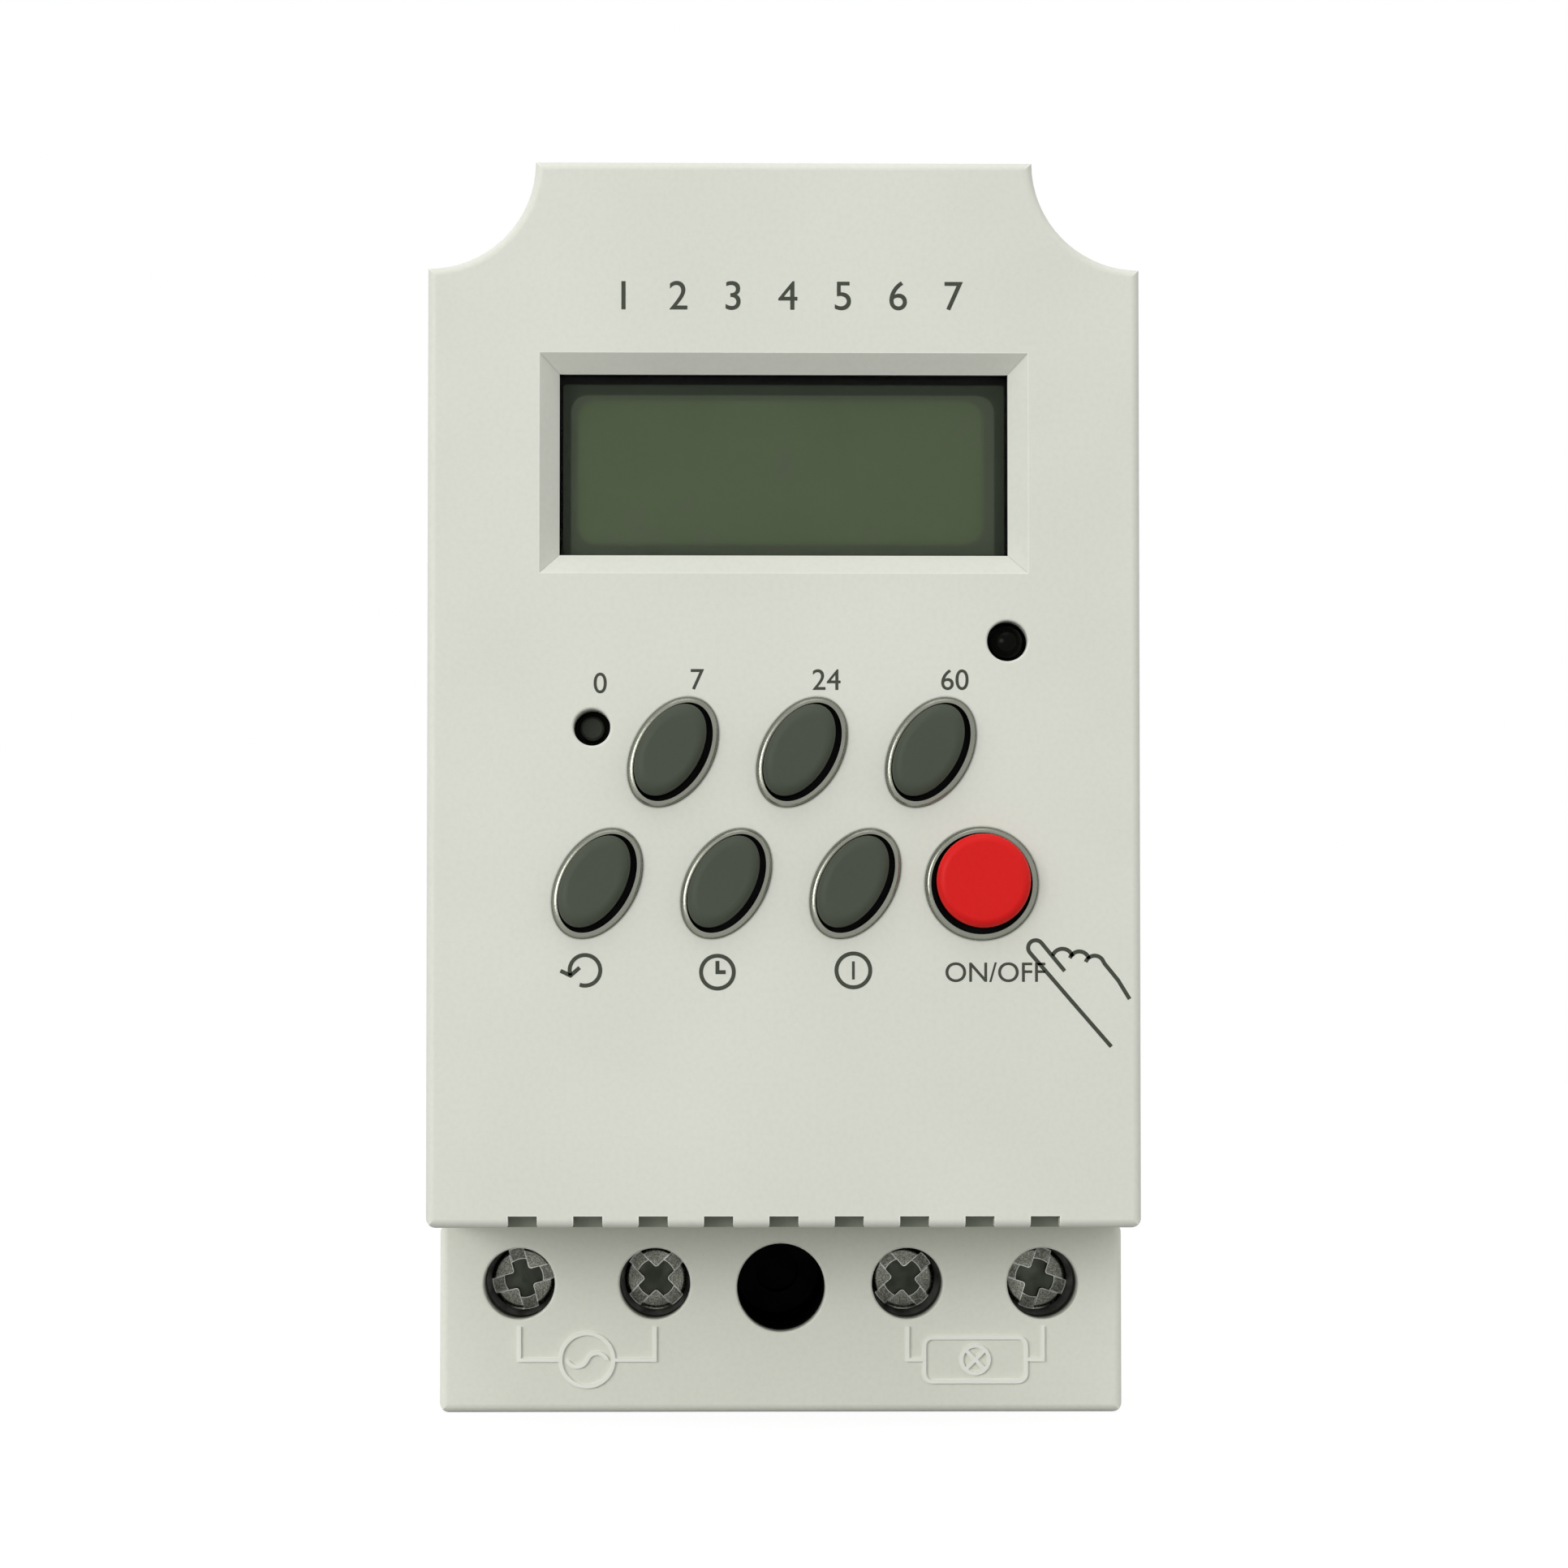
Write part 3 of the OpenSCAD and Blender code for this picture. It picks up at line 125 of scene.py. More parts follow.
class Shader:
    """A Principled material with short calls for its textures."""

    def __init__(self, name):
        self.material = bpy.data.materials.new(name)
        self.material.use_nodes = True
        self.tree = self.material.node_tree
        self.surface = self.tree.nodes["Principled BSDF"]
        self.place = self.node("ShaderNodeTexCoord").outputs["Object"]
        self.normal = None

    def node(self, kind, **settings):
        made = self.tree.nodes.new(kind)
        for key, value in settings.items():
            setattr(made, key, value)
        return made

    def link(self, out, into):
        self.tree.links.new(out, into)

    def set(self, **values):
        """Sets shader sockets by name, with _ for a space."""
        for key, value in values.items():
            self.surface.inputs[key.replace("_", " ")].default_value = value
        return self

    def stretched(self, scale):
        mapping = self.node("ShaderNodeMapping")
        mapping.inputs["Scale"].default_value = scale
        self.link(self.place, mapping.inputs["Vector"])
        return mapping.outputs["Vector"]

    def noise(self, size, detail=2.0, roughness=0.5, vector=None):
        """Noise whose features are about size metres across."""
        made = self.node("ShaderNodeTexNoise")
        made.inputs["Scale"].default_value = 1 / size
        made.inputs["Detail"].default_value = detail
        made.inputs["Roughness"].default_value = roughness
        self.link(vector or self.place, made.inputs["Vector"])
        return made.outputs["Fac"]

    def ramp(self, factor, stops):
        """A colour by a factor, from stops of (factor, colour)."""
        made = self.node("ShaderNodeValToRGB")
        ramp = made.color_ramp
        while len(ramp.elements) < len(stops):
            ramp.elements.new(0.5)
        for element, (at, colour) in zip(ramp.elements, stops):
            element.position = at
            element.color = colour
        self.link(factor, made.inputs["Fac"])
        return made.outputs["Color"]

    def mix(self, factor, first, second, blend="MIX"):
        made = self.node("ShaderNodeMix", data_type="RGBA", blend_type=blend)
        if isinstance(factor, float):
            made.inputs["Factor"].default_value = factor
        else:
            self.link(factor, made.inputs["Factor"])
        for socket, value in ((made.inputs[6], first), (made.inputs[7], second)):
            if isinstance(value, tuple):
                socket.default_value = value
            else:
                self.link(value, socket)
        return made.outputs[2]

    def axis(self, letter):
        """One coordinate of the place, in metres."""
        parts = self.node("ShaderNodeSeparateXYZ")
        self.link(self.place, parts.inputs[0])
        return parts.outputs[letter]

    def maths(self, operation, first, second=0.0):
        made = self.node("ShaderNodeMath", operation=operation)
        for socket, value in zip(made.inputs, (first, second)):
            if isinstance(value, float):
                socket.default_value = value
            else:
                self.link(value, socket)
        return made.outputs[0]

    def product(self, *factors):
        total = factors[0]
        for factor in factors[1:]:
            total = self.maths("MULTIPLY", total, factor)
        return total

    def step(self, value, start, end):
        """Rises smoothly from 0 at the start to 1 at the end."""
        rise = self.node("ShaderNodeMapRange", interpolation_type="SMOOTHSTEP")
        rise.inputs["From Min"].default_value = start
        rise.inputs["From Max"].default_value = end
        self.link(value, rise.inputs["Value"])
        return rise.outputs["Result"]

    def spread(self, factor, low, high):
        """Stretches the usual range of a noise over two values."""
        made = self.node("ShaderNodeMapRange")
        made.inputs["From Min"].default_value = 0.3
        made.inputs["From Max"].default_value = 0.7
        made.inputs["To Min"].default_value = low
        made.inputs["To Max"].default_value = high
        self.link(factor, made.inputs["Value"])
        return made.outputs["Result"]

    def closeness(self, reach):
        """How much other surfaces close in on a place, from 0 in the open to 1 in a corner."""
        around = self.node("ShaderNodeAmbientOcclusion", samples=8)
        around.inputs["Distance"].default_value = reach
        return self.maths("SUBTRACT", 1.0, around.outputs["AO"])

    def sharpness(self, radius):
        """1 along edges, 0 on the flats between them."""
        rounded = self.node("ShaderNodeBevel", samples=6)
        rounded.inputs["Radius"].default_value = radius
        facing = self.node("ShaderNodeVectorMath", operation="DOT_PRODUCT")
        self.link(rounded.outputs["Normal"], facing.inputs[0])
        self.link(self.node("ShaderNodeNewGeometry").outputs["Normal"], facing.inputs[1])
        flat, bent = 0.99, 0.92
        return self.step(facing.outputs["Value"], flat, bent)

    def beyond_box(self, low, high, radius):
        """How far a place lies outside a box with round corners, seen from the front, in metres."""
        over = []
        for letter, first, last in zip("XZ", low, high):
            off = self.maths("ABSOLUTE", self.maths("SUBTRACT", self.axis(letter), (first + last) / 2))
            over.append(self.maths("SUBTRACT", off, (last - first) / 2 - radius))
        squares = [self.maths("POWER", self.maths("MAXIMUM", value, 0.0), 2.0) for value in over]
        outer = self.maths("SQRT", self.maths("ADD", *squares))
        inner = self.maths("MINIMUM", self.maths("MAXIMUM", *over), 0.0)
        return self.maths("SUBTRACT", self.maths("ADD", outer, inner), radius)

    def colour(self, out):
        self.link(out, self.surface.inputs["Base Color"])
        return self

    def rough(self, factor, low, high):
        self.link(self.spread(factor, low, high), self.surface.inputs["Roughness"])
        return self

    def bump(self, height, strength, distance):
        made = self.node("ShaderNodeBump")
        made.inputs["Strength"].default_value = strength
        made.inputs["Distance"].default_value = distance
        self.link(height, made.inputs["Height"])
        if self.normal is not None:
            self.link(self.normal, made.inputs["Normal"])
        self.normal = made.outputs["Normal"]
        self.link(self.normal, self.surface.inputs["Normal"])
        return self


# Tints of single regions of a moulding, mostly painted highlights and painted shade: each takes a shader
# and its plain colour

EDGE = 0.25 * MM


def cover_tint(made, plain):
    """Paler along the edges as a painted highlight; painted shade round the collars and dark painted shade
    on the back walls of the notches.
    """
    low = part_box("front_cover")[0]
    notch_top = low[2] + 1.3 * MM
    slack = 0.06 * MM
    # Painted highlight along the edges
    pale = made.mix(made.product(made.sharpness(EDGE), 0.7), plain, PAINTED_HIGHLIGHT)
    # Painted shade in corners and round the collars
    corner_shade = made.step(made.closeness(0.4 * MM), 0.16, 0.36)
    corner_shaded = made.mix(corner_shade, pale, CORNER_SHADE_GREY)
    # Painted shade on the back walls of the notches
    off = made.maths("ABSOLUTE", made.maths("SUBTRACT", made.axis("Y"), low[1] + NOTCH_IN))
    backs = made.maths("LESS_THAN", off, slack)
    below = made.maths("LESS_THAN", made.axis("Z"), notch_top)
    between = made.maths("LESS_THAN", made.maths("ABSOLUTE", made.axis("X")), NOTCH_ROW / 2)
    return made.mix(made.product(backs, below, between), corner_shaded, NOTCH_SHADE_GREY)


def gap_shade_tint(made, plain):
    """Painted shade: dark on the flank of a key cap, from just above the face inwards, where the gap round
    the cap lies in shadow.
    """
    gap_shaded = made.step(made.axis("Y"), FACE_Y - 0.55 * MM, FACE_Y - 0.15 * MM)
    return made.mix(gap_shaded, plain, BLACK)


def in_shaft(made):
    """1 inside the screw shaft, seen from the front."""
    low = (-SHAFT_R, SHAFT_Z - SHAFT_R)
    high = (SHAFT_R, SHAFT_Z + SHAFT_R)
    return made.step(made.beyond_box(low, high, SHAFT_R), 0.3 * MM, 0.1 * MM)


def shelf_tint(made, plain):
    """Painted highlight on the raised signs and edges; painted shade dark behind the wells and black in
    the shaft.
    """
    low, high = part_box("terminal_block")
    side, top, corner = 1.5 * MM, 0.5 * MM, 0.5 * MM
    sign_depth = 0.12 * MM
    # Painted highlight on the raised signs and along edges
    raised = made.maths("LESS_THAN", made.axis("Y"), low[1] + sign_depth)
    signs = made.mix(made.maths("MAXIMUM", raised, made.sharpness(EDGE)), plain, PAINTED_HIGHLIGHT)
    # Painted shade behind the wells and, black, in the shaft
    room = made.beyond_box((low[0] + side, low[2] + side), (high[0] - side, high[2] - top), corner)
    inside = made.step(room, 0.0, -0.2 * MM)
    deep = made.step(made.axis("Y"), low[1] + 1.2 * MM, low[1] + 4.5 * MM)
    far = made.step(made.axis("Y"), low[1] + 3 * MM, low[1] + 8 * MM)
    bore_shade = made.mix(made.product(in_shaft(made), far), BORE_SHADE_GREY, BLACK)
    return made.mix(made.product(inside, deep), signs, bore_shade)


def shaft_shade_tint(made, plain):
    """Painted shade: black inside the screw shaft of the base, down to the skin that closes it."""
    skin = 0.4 * MM
    front = made.maths("LESS_THAN", made.axis("Y"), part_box("rear_base")[1][1] - skin)
    return made.mix(made.product(in_shaft(made), front), plain, BLACK)


# Materials


def moulded(name, colour, low=0.42, high=0.56, grain=0.16, depth=0.012, specular=0.4, tint=None):
    """Injection-moulded plastic with a fine spark-eroded grain and slight flow clouds.

    Its roughness lies between low and high. The grain's size and depth are in mm.
    """
    made = Shader(name)
    clouds = made.noise(18 * MM, detail=3.0)
    specks = made.noise(0.5 * MM, detail=2.0)
    tinted = made.ramp(clouds, [(0.3, shade(colour, 0.975)), (0.7, shade(colour, 1.02))])
    flecked = made.ramp(specks, [(0.3, grey(0.94)), (0.6, WHITE)])
    plain = made.mix(0.5, tinted, flecked, "MULTIPLY")
    made.colour(tint(made, plain) if tint else plain)
    made.rough(made.noise(2.5 * MM, detail=4.0), low, high)
    made.bump(made.noise(grain * MM, detail=2.0), 0.35, depth * MM)
    made.bump(made.noise(9 * MM, detail=1.0), 0.1, 0.05 * MM)
    return made.set(Specular_IOR_Level=specular).material


def plated(name, colour, rough=0.24):
    """Satin plating over plastic, with hair-fine polishing marks and painted shade in its corners."""
    made = Shader(name)
    marks = made.noise(0.4 * MM, detail=4.0, vector=made.stretched((1.0, 1.0, 5.0)))
    clouds = made.noise(3 * MM)
    clean = made.ramp(clouds, [(0.3, shade(colour, 0.92)), (0.7, shade(colour, 1.06))])
    # Painted shade where the collar meets the cover and the gap round the cap
    corner_shade = made.step(made.closeness(0.5 * MM), 0.26, 0.5)
    made.colour(made.mix(corner_shade, clean, shade(colour, 0.06)))
    made.rough(marks, rough - 0.06, rough + 0.08)
    made.bump(marks, 0.06, 0.01 * MM)
    return made.set(Metallic=1.0).material


def screw_head(name, colour, highlight_colour, recess_shade_colour):
    """Terminal screw: speckled lands with a painted highlight along their edges round a recess darkened
    with painted shade.
    """
    made = Shader(name)
    depth = made.maths("SUBTRACT", made.axis("Y"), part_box("terminal_screw_1")[0][1])
    grains = made.noise(0.16 * MM, detail=2.0)
    speckled = made.ramp(grains, [(0.35, shade(colour, 0.55)), (0.52, colour), (0.7, shade(colour, 1.8))])
    # Painted shade in the recess
    recess = made.step(depth, 0.4 * MM, 1.2 * MM)
    shaded = made.mix(recess, speckled, recess_shade_colour)
    # Painted highlight along the edges of the lands
    in_reach = made.step(depth, 1.0 * MM, 0.75 * MM)
    edge_highlight = made.product(made.sharpness(0.2 * MM), in_reach)
    made.colour(made.mix(edge_highlight, shaded, highlight_colour))
    made.rough(made.noise(1.6 * MM, detail=4.0), 0.5, 0.34)
    made.bump(grains, 0.45, 0.02 * MM)
    return made.set(Metallic=1.0).material


def metal(name, colour, rough=0.34):
    """Plated or drawn metal with a fine blasted grain and dull patches."""
    made = Shader(name)
    patches = made.noise(1.6 * MM, detail=4.0)
    grains = made.noise(0.2 * MM, detail=2.0)
    stops = [(0.3, shade(colour, 0.72)), (0.55, colour), (0.75, shade(colour, 1.12))]
    made.colour(made.ramp(patches, stops))
    made.rough(patches, rough + 0.14, rough - 0.06)
    made.bump(grains, 0.4, 0.02 * MM)
    return made.set(Metallic=1.0).material


def board_lacquer(name, colour):
    """Solder mask with the copper tracks showing as a paler net below it."""
    made = Shader(name)
    tracks = made.node("ShaderNodeTexBrick", offset=0.35)
    tracks.inputs["Scale"].default_value = 120
    tracks.inputs["Mortar Size"].default_value = 0.012
    tracks.inputs["Color1"].default_value = colour
    tracks.inputs["Color2"].default_value = shade(colour, 0.85)
    tracks.inputs["Mortar"].default_value = shade(colour, 1.9)
    turned = made.node("ShaderNodeMapping")
    turned.inputs["Rotation"].default_value = (math.radians(90), 0, 0)
    made.link(made.place, turned.inputs["Vector"])
    made.link(turned.outputs["Vector"], tracks.inputs["Vector"])
    made.colour(tracks.outputs["Color"])
    made.rough(made.noise(4 * MM), 0.22, 0.36)
    made.bump(tracks.outputs["Fac"], 0.2, 0.03 * MM)
    return made.material


def display_glass(name, colour, rim_shade_colour, band_shade_colour, line_shadow_colour, opening):
    """Blank display: grey-green film under glass, with painted shade from the window's walls as a duller
    rim, a dark band and a black line.
    """
    made = Shader(name)
    film = made.noise(7 * MM, detail=5.0, roughness=0.65)
    grain = made.noise(0.12 * MM)
    tinted = made.ramp(film, [(0.35, shade(colour, 0.98)), (0.55, shade(colour, 1.02)), (0.68, GREY_PATCH)])
    fine = made.ramp(grain, [(0.3, grey(0.9)), (0.7, WHITE)])
    plain = made.mix(0.5, tinted, fine, "MULTIPLY")

    def outside(left, bottom, right, top, radius):
        """How far a place lies outside the opening less these margins, which are in mm."""
        (x0, z0), (x1, z1) = opening
        low = (x0 + left * MM, z0 + bottom * MM)
        high = (x1 - right * MM, z1 - top * MM)
        return made.beyond_box(low, high, radius * MM)

    # Painted shade from the walls of the window: a duller rim, a dark band and a black line
    rim = outside(1.7, 1.25, 2.3, 2.3, 1.8)
    band = outside(1.05, -1.5, 1.2, 1.75, 1.6)
    line = outside(0.3, 0.08, 0.24, 0.74, 0.3)
    rim_shaded = made.mix(made.step(rim, -0.35 * MM, 0.3 * MM), plain, rim_shade_colour)
    band_shaded = made.mix(made.step(band, -0.1 * MM, 0.12 * MM), rim_shaded, band_shade_colour)
    made.colour(made.mix(made.step(line, -0.06 * MM, 0.06 * MM), band_shaded, line_shadow_colour))
    made.rough(grain, 0.4, 0.52)
    return made.set(Specular_IOR_Level=0.03).material


def clear_pane(name):
    """Clear acrylic with a faint haze."""
    made = Shader(name)
    haze = made.noise(6 * MM, detail=3.0)
    made.rough(haze, 0.02, 0.06)
    made.bump(made.noise(12 * MM, detail=1.0), 0.05, 0.02 * MM)
    made.set(Base_Color=(0.97, 0.98, 0.96, 1.0), Transmission_Weight=1.0, IOR=1.1, Specular_IOR_Level=0.1)
    return made.material


def glossy(name, colour, rough=0.12, specular=0.5):
    """Smooth lacquer, epoxy or lens plastic with a faint orange peel."""
    made = Shader(name)
    clouds = made.noise(3 * MM, detail=2.0)
    made.colour(made.ramp(clouds, [(0.3, shade(colour, 0.88)), (0.7, shade(colour, 1.1))]))
    made.rough(made.noise(1.2 * MM), rough - 0.04, rough + 0.06)
    made.bump(made.noise(0.8 * MM), 0.06, 0.02 * MM)
    return made.set(Specular_IOR_Level=specular).material


def striped_rubber(name, dark, pale):
    """Contact strip: dark conducting layers between paler insulating ones."""
    made = Shader(name)
    layers = made.node("ShaderNodeTexWave", wave_type="BANDS", bands_direction="X")
    layers.inputs["Scale"].default_value = 1200
    made.link(made.place, layers.inputs["Vector"])
    made.colour(made.ramp(layers.outputs["Fac"], [(0.4, dark), (0.6, pale)]))
    made.rough(made.noise(0.3 * MM), 0.6, 0.8)
    return made.material


def print_ink(name, colour):
    """Pad-printed ink: matte, a little thin in places."""
    made = Shader(name)
    cover = made.noise(0.25 * MM, detail=3.0)
    made.colour(made.ramp(cover, [(0.25, shade(colour, 1.25)), (0.5, colour)]))
    made.rough(made.noise(0.6 * MM), 0.5, 0.65)
    return made.set(Specular_IOR_Level=0.3).material


def key_plastic(name, colour, low, high, depth, specular, tint=None):
    """Plastic of the key caps, with a finer grain than the case."""
    return moulded(name, colour, low, high, grain=0.12, depth=depth, specular=specular, tint=tint)


pane_low, pane_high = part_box("display_window")
opening = (
    (pane_low[0] + PANE_LAP, pane_low[2] + PANE_LAP),
    (pane_high[0] - PANE_LAP, pane_high[2] - PANE_LAP),
)
# Film colour, then painted shade colours for the display's rim, band and black line
film_and_shade_colours = (srgb(77, 88, 66), srgb(68, 74, 62), srgb(46, 52, 42), BLACK)

# One material for each slot of the record
materials = {
    "case_plastic": moulded("case_plastic", CASE),
    "collar_plate": plated("collar_plate", srgb(136, 138, 127)),
    "key_grey": key_plastic("key_grey", KEY, 0.5, 0.62, depth=0.01, specular=0.22, tint=gap_shade_tint),
    "key_red": key_plastic("key_red", RED, 0.44, 0.56, depth=0.008, specular=0.15, tint=gap_shade_tint),
    "key_black": key_plastic("key_black", srgb(44, 49, 40), 0.5, 0.62, depth=0.008, specular=0.2),
    "switch_body": moulded("switch_body", srgb(38, 38, 38)),
    "pane_clear": clear_pane("pane_clear"),
    "lcd_glass": display_glass("lcd_glass", *film_and_shade_colours, opening),
    "frame_black": moulded("frame_black", srgb(30, 32, 28)),
    "contact_rubber": striped_rubber("contact_rubber", srgb(38, 38, 38), srgb(120, 118, 112)),
    "board_green": board_lacquer("board_green", srgb(28, 88, 48)),
    "screw_steel": metal("screw_steel", srgb(128, 127, 120), rough=0.42),
    "clamp_steel": metal("clamp_steel", srgb(140, 140, 134), rough=0.46),
    "spring_steel": metal("spring_steel", srgb(150, 150, 148), rough=0.32),
    "bar_brass": metal("bar_brass", srgb(206, 170, 96), rough=0.3),
    "led_dark": glossy("led_dark", srgb(6, 6, 5), rough=0.16, specular=0.05),
    "chip_black": glossy("chip_black", srgb(24, 24, 25), rough=0.34, specular=0.35),
    "can_metal": metal("can_metal", srgb(200, 200, 198), rough=0.26),
    "relay_blue": moulded("relay_blue", srgb(30, 66, 132), low=0.3, high=0.42),
    "film_yellow": glossy("film_yellow", srgb(192, 158, 44), rough=0.3),
    "sleeve_dark": glossy("sleeve_dark", srgb(36, 44, 72), rough=0.25),
    "resistor_tan": glossy("resistor_tan", srgb(182, 158, 118), rough=0.38),
    "varistor_blue": glossy("varistor_blue", srgb(36, 62, 146), rough=0.3),
}
# Nodes whose material also knows the regions of their shape
# Terminal screws: painted highlight colour on edges, painted shade colour in the recess
terminal_steel = screw_head("terminal_steel", srgb(150, 152, 141), srgb(255, 255, 250), srgb(82, 86, 76))
own_materials = {
    "front_cover": moulded("cover_plastic", CASE, tint=cover_tint),
    "terminal_block": moulded("shelf_plastic", SHELF_LIGHTENED, specular=0.2, tint=shelf_tint),
    "rear_base": moulded("base_plastic", CASE, specular=0.12, tint=shaft_shade_tint),
    **{f"terminal_screw_{number}": terminal_steel for number in range(1, 5)},
}
ink = print_ink("print_ink", INK)

for row in frame["record"]["subparts"]:
    mesh = frame["nodes"][row["node"]].data
    mesh.materials.clear()
    mesh.materials.append(own_materials.get(row["node"], materials[row["material_slot"]]))


# Mesh helpers


def arc(centre, radius, start, end, steps=24):
    """Points on an arc, with angles in degrees counted from +X towards +Z."""
    angles = [math.radians(start + (end - start) * i / steps) for i in range(steps + 1)]
    return [(centre[0] + radius * math.cos(a), centre[1] + radius * math.sin(a)) for a in angles]


def ring(centre, radius, steps=48):
    return arc(centre, radius, 0, 360 * (steps - 1) / steps, steps - 1)


def place(mesh, name, body, material):
    piece = bpy.data.objects.new(name, mesh)
    bpy.context.scene.collection.objects.link(piece)
    mesh.materials.clear()
    mesh.materials.append(material)
    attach(piece, body)
    return piece


def curve_mesh(curve, name):
    """The surface of a curve or of a text, as a mesh."""
    carrier = bpy.data.objects.new(name + "_draft", curve)
    bpy.context.scene.collection.objects.link(carrier)
    bpy.context.view_layer.update()
    finished = carrier.evaluated_get(bpy.context.evaluated_depsgraph_get())
    mesh = bpy.data.meshes.new_from_object(finished)
    bpy.data.objects.remove(carrier)
    mesh.name = name
    return mesh


# Printed marks on the cover: numbers and plain signs, with places and sizes in mm

STROKE = 0.36
PRINT_Y = FACE_Y - 0.02 * MM
# A sharp bend's mitre reaches out no further than its half width over this
MITRE_LIMIT = 0.4


def ribbon_sides(points, width, closed):
    """The left and right edges of a flat stroke, mitred at its bends."""
    count = len(points)
    left, right = [], []
    for i, point in enumerate(points):
        here = Vector(point)
        before = Vector(points[i - 1]) if closed or i else here
        after = Vector(points[(i + 1) % count]) if closed or i < count - 1 else here
        into = (here - before).normalized() if here != before else (after - here).normalized()
        out = (after - here).normalized() if after != here else into
        across = Vector((-(into + out).y, (into + out).x)).normalized()
        reach = width / 2 / max(MITRE_LIMIT, across.dot(Vector((-into.y, into.x))))
        left.append(here + across * reach)
        right.append(here - across * reach)
    return left, right


def printed_strokes(name, strokes):
    """Flat ink strokes on the face. A stroke is (points, closed)."""
    shape = bmesh.new()
    for points, closed in strokes:
        sides = ribbon_sides(points, STROKE, closed)
        left, right = [[shape.verts.new((p.x * MM, PRINT_Y, p.y * MM)) for p in side] for side in sides]
        last = len(points) if closed else len(points) - 1
        for i in range(last):
            j = (i + 1) % len(points)
            shape.faces.new((left[i], right[i], right[j], left[j]))
    bmesh.ops.recalc_face_normals(shape, faces=shape.faces)
    mesh = bpy.data.meshes.new(name)
    shape.to_mesh(mesh)
    shape.free()
    return place(mesh, name, "case", ink)


def printed_text(name, words, x, z, height, spacing=1.0):
    """Flat lettering centred at x, z on the face, with its tallest sign as high as asked."""
    curve = bpy.data.curves.new(name, "FONT")
    curve.body = words
    curve.align_x = "CENTER"
    curve.space_character = spacing
    mesh = curve_mesh(curve, name)
    xs = [v.co.x for v in mesh.vertices]
    ys = [v.co.y for v in mesh.vertices]
    scale = height / (max(ys) - min(ys))
    centre = ((max(xs) + min(xs)) / 2, (max(ys) + min(ys)) / 2)
    for v in mesh.vertices:
        across = x + (v.co.x - centre[0]) * scale
        up = z + (v.co.y - centre[1]) * scale
        v.co = (across * MM, PRINT_Y, up * MM)
    return place(mesh, name, "case", ink)


def clock_sign(x, z, radius):
    return [
        (ring((x, z), radius), True),
        ([(x, z + radius * 0.68), (x, z), (x + radius * 0.5, z)], False),
    ]


def recall_sign(x, z, radius):
    """An open ring with an arrow head, for going back."""
    tip = arc((x, z), radius, 200, 200)[0]
    return [
        (arc((x, z), radius, -110, 200), False),
        ([(tip[0] - 0.95, tip[1] + 0.45), tip, (tip[0] + 0.85, tip[1] + 0.75)], False),
    ]


def hand_sign(tip_x, tip_z):
    """A pointing hand in plain line, with its finger tip at the place given."""
    def at(right, down):
        return (tip_x + right, tip_z - down)
    finger = arc(at(0.62, 0.46), 0.72, 225, 45, 14)
    upper = [at(1.13, -0.05), at(3.35, 2.65)]
    lower = [at(0.11, 0.97), at(4.1, 5.6), at(7.75, 9.8)]
    knuckles = []
    for right, down, size in ((3.15, 1.55, 1.0), (4.75, 1.75, 0.95), (6.2, 2.1, 0.9)):
        knuckles.append((arc(at(right, down), size, 160, 15, 12), False))
    back = [at(7.07, 1.87), at(8.4, 3.5), at(9.5, 5.3)]
    return [(finger, False), (upper, False), (lower, False), (back, False), *knuckles]


printed_text("print_week", "1 2 3 4 5 6 7", 0.78, 47.2, 2.75, spacing=1.55)
printed_text("print_day", "7", -8.2, 10.65, 1.95)
printed_text("print_hour", "24", 4.03, 10.65, 1.95)
printed_text("print_minute", "60", 16.2, 10.65, 1.95)
printed_text("print_reset", "0", -17.4, 10.3, 1.95)
printed_text("print_manual", "ON/OFF", 20.0, -17.07, 1.85)
printed_text("print_program", "1", 6.56, -16.9, 1.7)
printed_strokes("print_clock", clock_sign(-6.29, -17.07, 1.55))
printed_strokes("print_program_ring", [(ring((6.56, -16.9), 1.6), True)])
printed_strokes("print_recall", recall_sign(-18.8, -16.9, 1.45))
printed_strokes("print_hand", hand_sign(23.2, -14.3))


# Latch spring: round wire in place of the six-sided solid


def latch_spring():
    low, high = (Vector(corner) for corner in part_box("latch_spring"))
    wire = 0.25 * MM
    turns = 8
    steps = 32
    radius = (high.x - low.x) / 2 - wire
    centre = (low + high) / 2
    length = high.z - low.z - 2 * wire
    curve = bpy.data.curves.new("spring_wire", "CURVE")
    curve.dimensions = "3D"
    curve.bevel_depth = wire
    curve.bevel_resolution = 3
    curve.use_fill_caps = True
    line = curve.splines.new("POLY")
    count = turns * steps
    line.points.add(count)
    for i, spot in enumerate(line.points):
        angle = 2 * math.pi * i / steps
        up = low.z + wire + length * i / count
        spot.co = (centre.x + radius * math.cos(angle), centre.y + radius * math.sin(angle), up, 1.0)
    mesh = curve_mesh(curve, "latch_spring_wire")
    for face in mesh.polygons:
        face.use_smooth = True
    piece = place(mesh, "latch_spring_wire", "case", materials["spring_steel"])
    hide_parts("latch_spring")
    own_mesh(piece)


latch_spring()


# Stage: pale floor, white surround, soft light from the front left and from above

LAMP_DISTANCE = 1.2


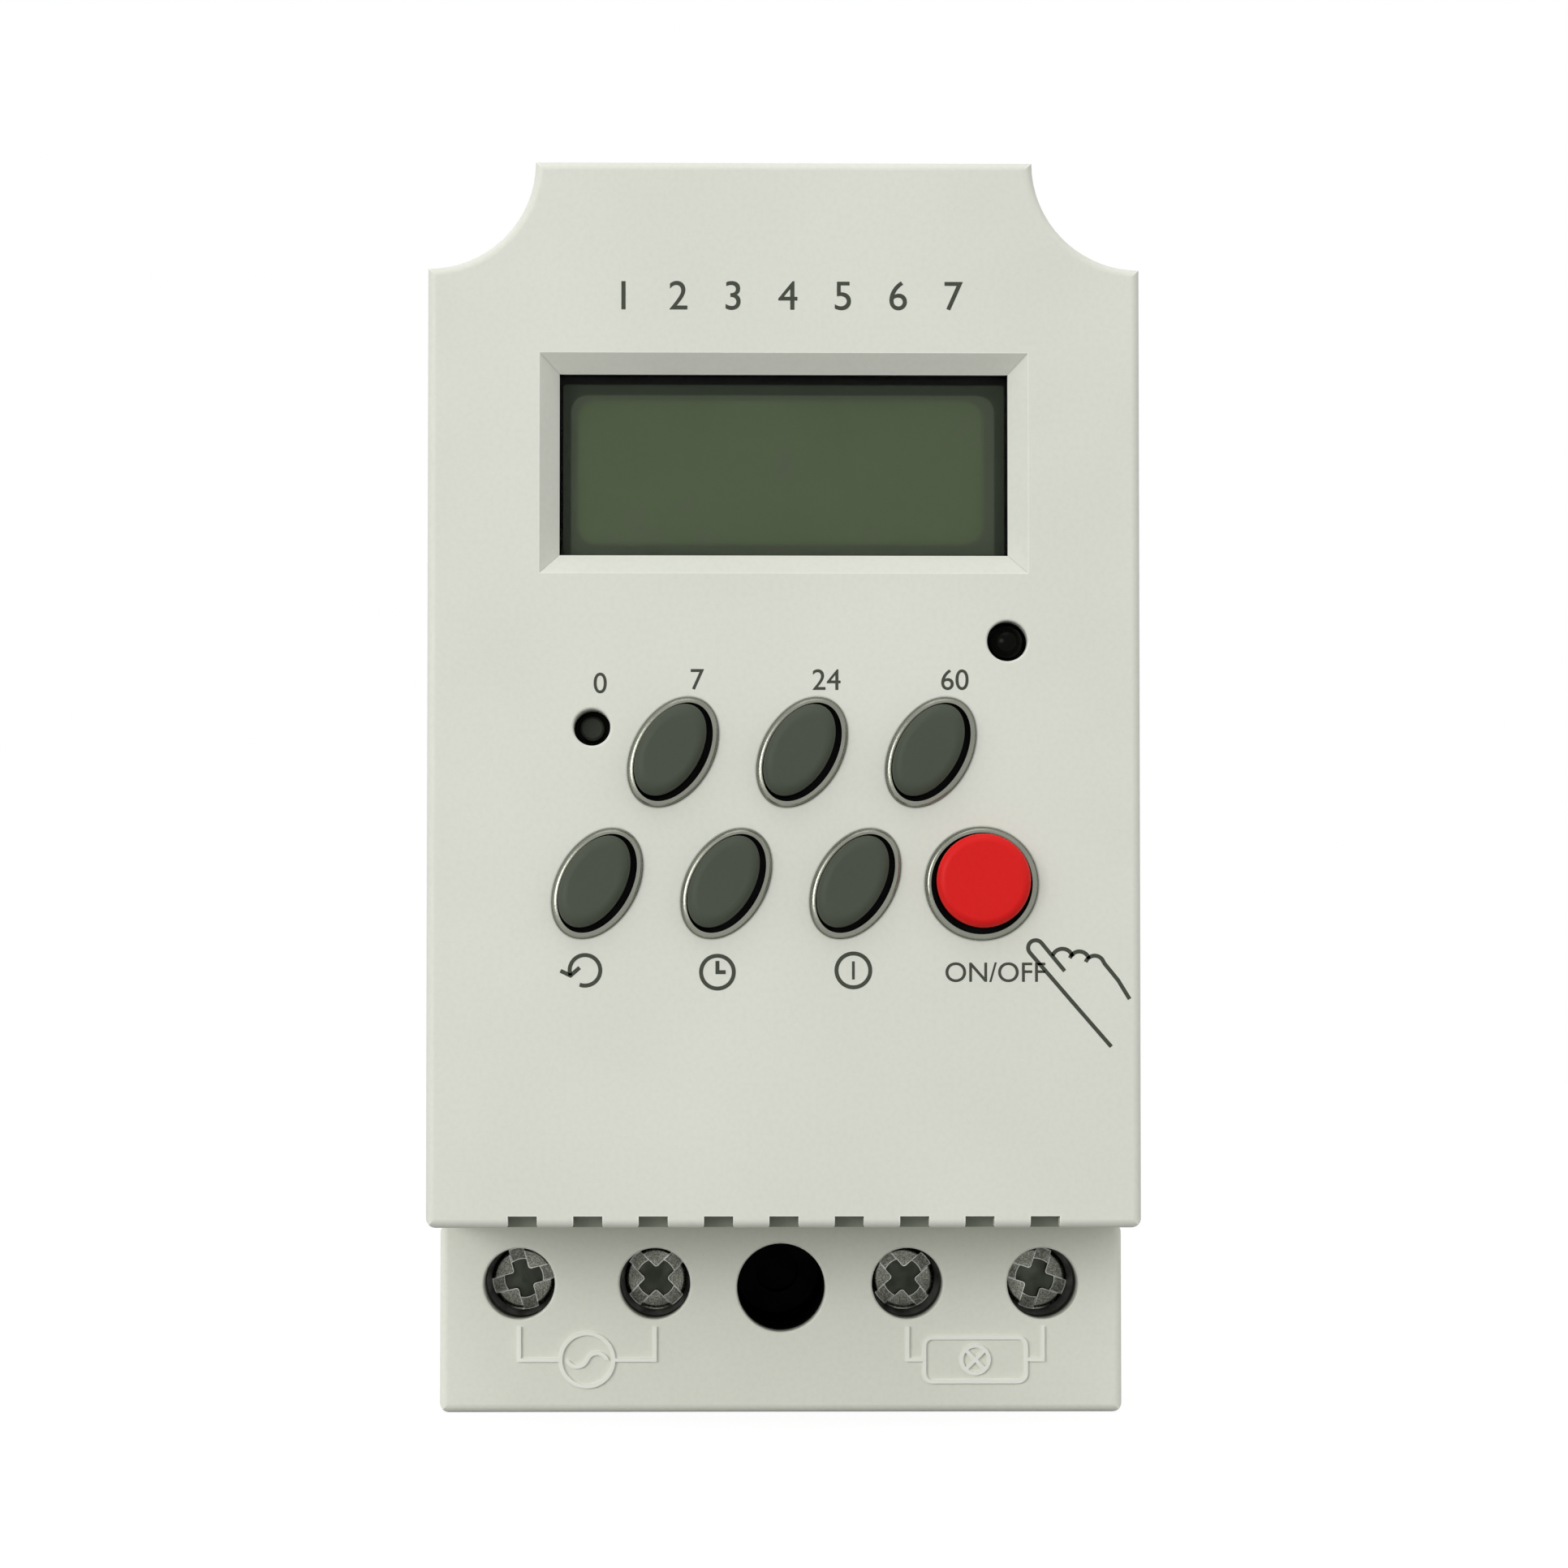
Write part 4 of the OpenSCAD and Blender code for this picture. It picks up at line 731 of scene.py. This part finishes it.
def white_to_camera(tree, lit, white, output, share):
    """Shows white to camera, glossy and transmission rays by the share given, and the lit surface else."""
    path = tree.nodes.new("ShaderNodeLightPath")
    total = path.outputs["Is Camera Ray"]
    for other in ("Is Glossy Ray", "Is Transmission Ray"):
        most = tree.nodes.new("ShaderNodeMath")
        most.operation = "MAXIMUM"
        tree.links.new(total, most.inputs[0])
        tree.links.new(path.outputs[other], most.inputs[1])
        total = most.outputs[0]
    part = tree.nodes.new("ShaderNodeMath")
    part.operation = "MULTIPLY"
    part.inputs[1].default_value = share
    tree.links.new(total, part.inputs[0])
    blend = tree.nodes.new("ShaderNodeMixShader")
    tree.links.new(part.outputs[0], blend.inputs["Fac"])
    tree.links.new(lit, blend.inputs[1])
    tree.links.new(white, blend.inputs[2])
    tree.links.new(blend.outputs[0], output)


def make_floor():
    """A floor that looks white in the open, where its share of glow and of light add up to 1."""
    size = 6
    drop = 0.05 * MM
    bpy.ops.mesh.primitive_plane_add(size=size, location=(0, 0, FLOOR_Z - drop))
    floor = bpy.context.object
    floor.name = "floor"
    material = bpy.data.materials.new("floor_white")
    material.use_nodes = True
    tree = material.node_tree
    surface = tree.nodes["Principled BSDF"]
    surface.inputs["Base Color"].default_value = grey(0.28)
    surface.inputs["Roughness"].default_value = 0.9
    glow = tree.nodes.new("ShaderNodeEmission")
    glow.inputs["Strength"].default_value = 1.5
    output = tree.nodes["Material Output"].inputs["Surface"]
    white_to_camera(tree, surface.outputs[0], glow.outputs[0], output, share=0.6)
    floor.data.materials.append(material)


def make_world():
    world = bpy.data.worlds.new("studio")
    bpy.context.scene.world = world
    world.use_nodes = True
    tree = world.node_tree
    fill = tree.nodes["Background"]
    fill.inputs["Color"].default_value = WHITE
    fill.inputs["Strength"].default_value = 0.94
    white = tree.nodes.new("ShaderNodeBackground")
    white.inputs["Color"].default_value = WHITE
    output = tree.nodes["World Output"].inputs["Surface"]
    white_to_camera(tree, fill.outputs[0], white.outputs[0], output, share=1.0)


def soft_light(name, elevation, azimuth, size, energy):
    """A round soft box that faces the part, so many degrees up and to the left of straight ahead."""
    data = bpy.data.lights.new(name, "AREA")
    data.shape = "DISK"
    data.size = size
    data.energy = energy
    up, left = math.radians(elevation), math.radians(azimuth)
    towards = Vector((-math.cos(up) * math.sin(left), -math.cos(up) * math.cos(left), math.sin(up)))
    lamp = bpy.data.objects.new(name, data)
    lamp.location = towards * LAMP_DISTANCE
    lamp.rotation_euler = towards.to_track_quat("Z", "Y").to_euler()
    bpy.context.scene.collection.objects.link(lamp)


def make_camera():
    """A camera a little to the left and below the middle, looking slightly up and to the right."""
    distance = 0.430
    frame_width = 0.1482
    sensor = 36
    tilt = math.radians(2)
    aside = 6.7 * MM
    view_middle = 0.72 * MM
    data = bpy.data.cameras.new("camera")
    data.sensor_width = sensor
    data.lens = sensor * distance / frame_width
    data.shift_y = 0.06
    camera = bpy.data.objects.new("camera", data)
    height = view_middle - data.shift_y * frame_width - distance * math.tan(tilt)
    camera.location = (-aside, FACE_Y - distance, height)
    camera.rotation_euler = Euler((math.radians(90) + tilt, 0, -math.atan(aside / distance)))
    bpy.context.scene.collection.objects.link(camera)
    bpy.context.scene.camera = camera


make_floor()
make_world()
soft_light("key_light", elevation=7, azimuth=36, size=0.6, energy=5.3)
soft_light("top_light", elevation=62, azimuth=10, size=0.8, energy=1.6)
make_camera()
bpy.context.scene.view_settings.view_transform = "Standard"
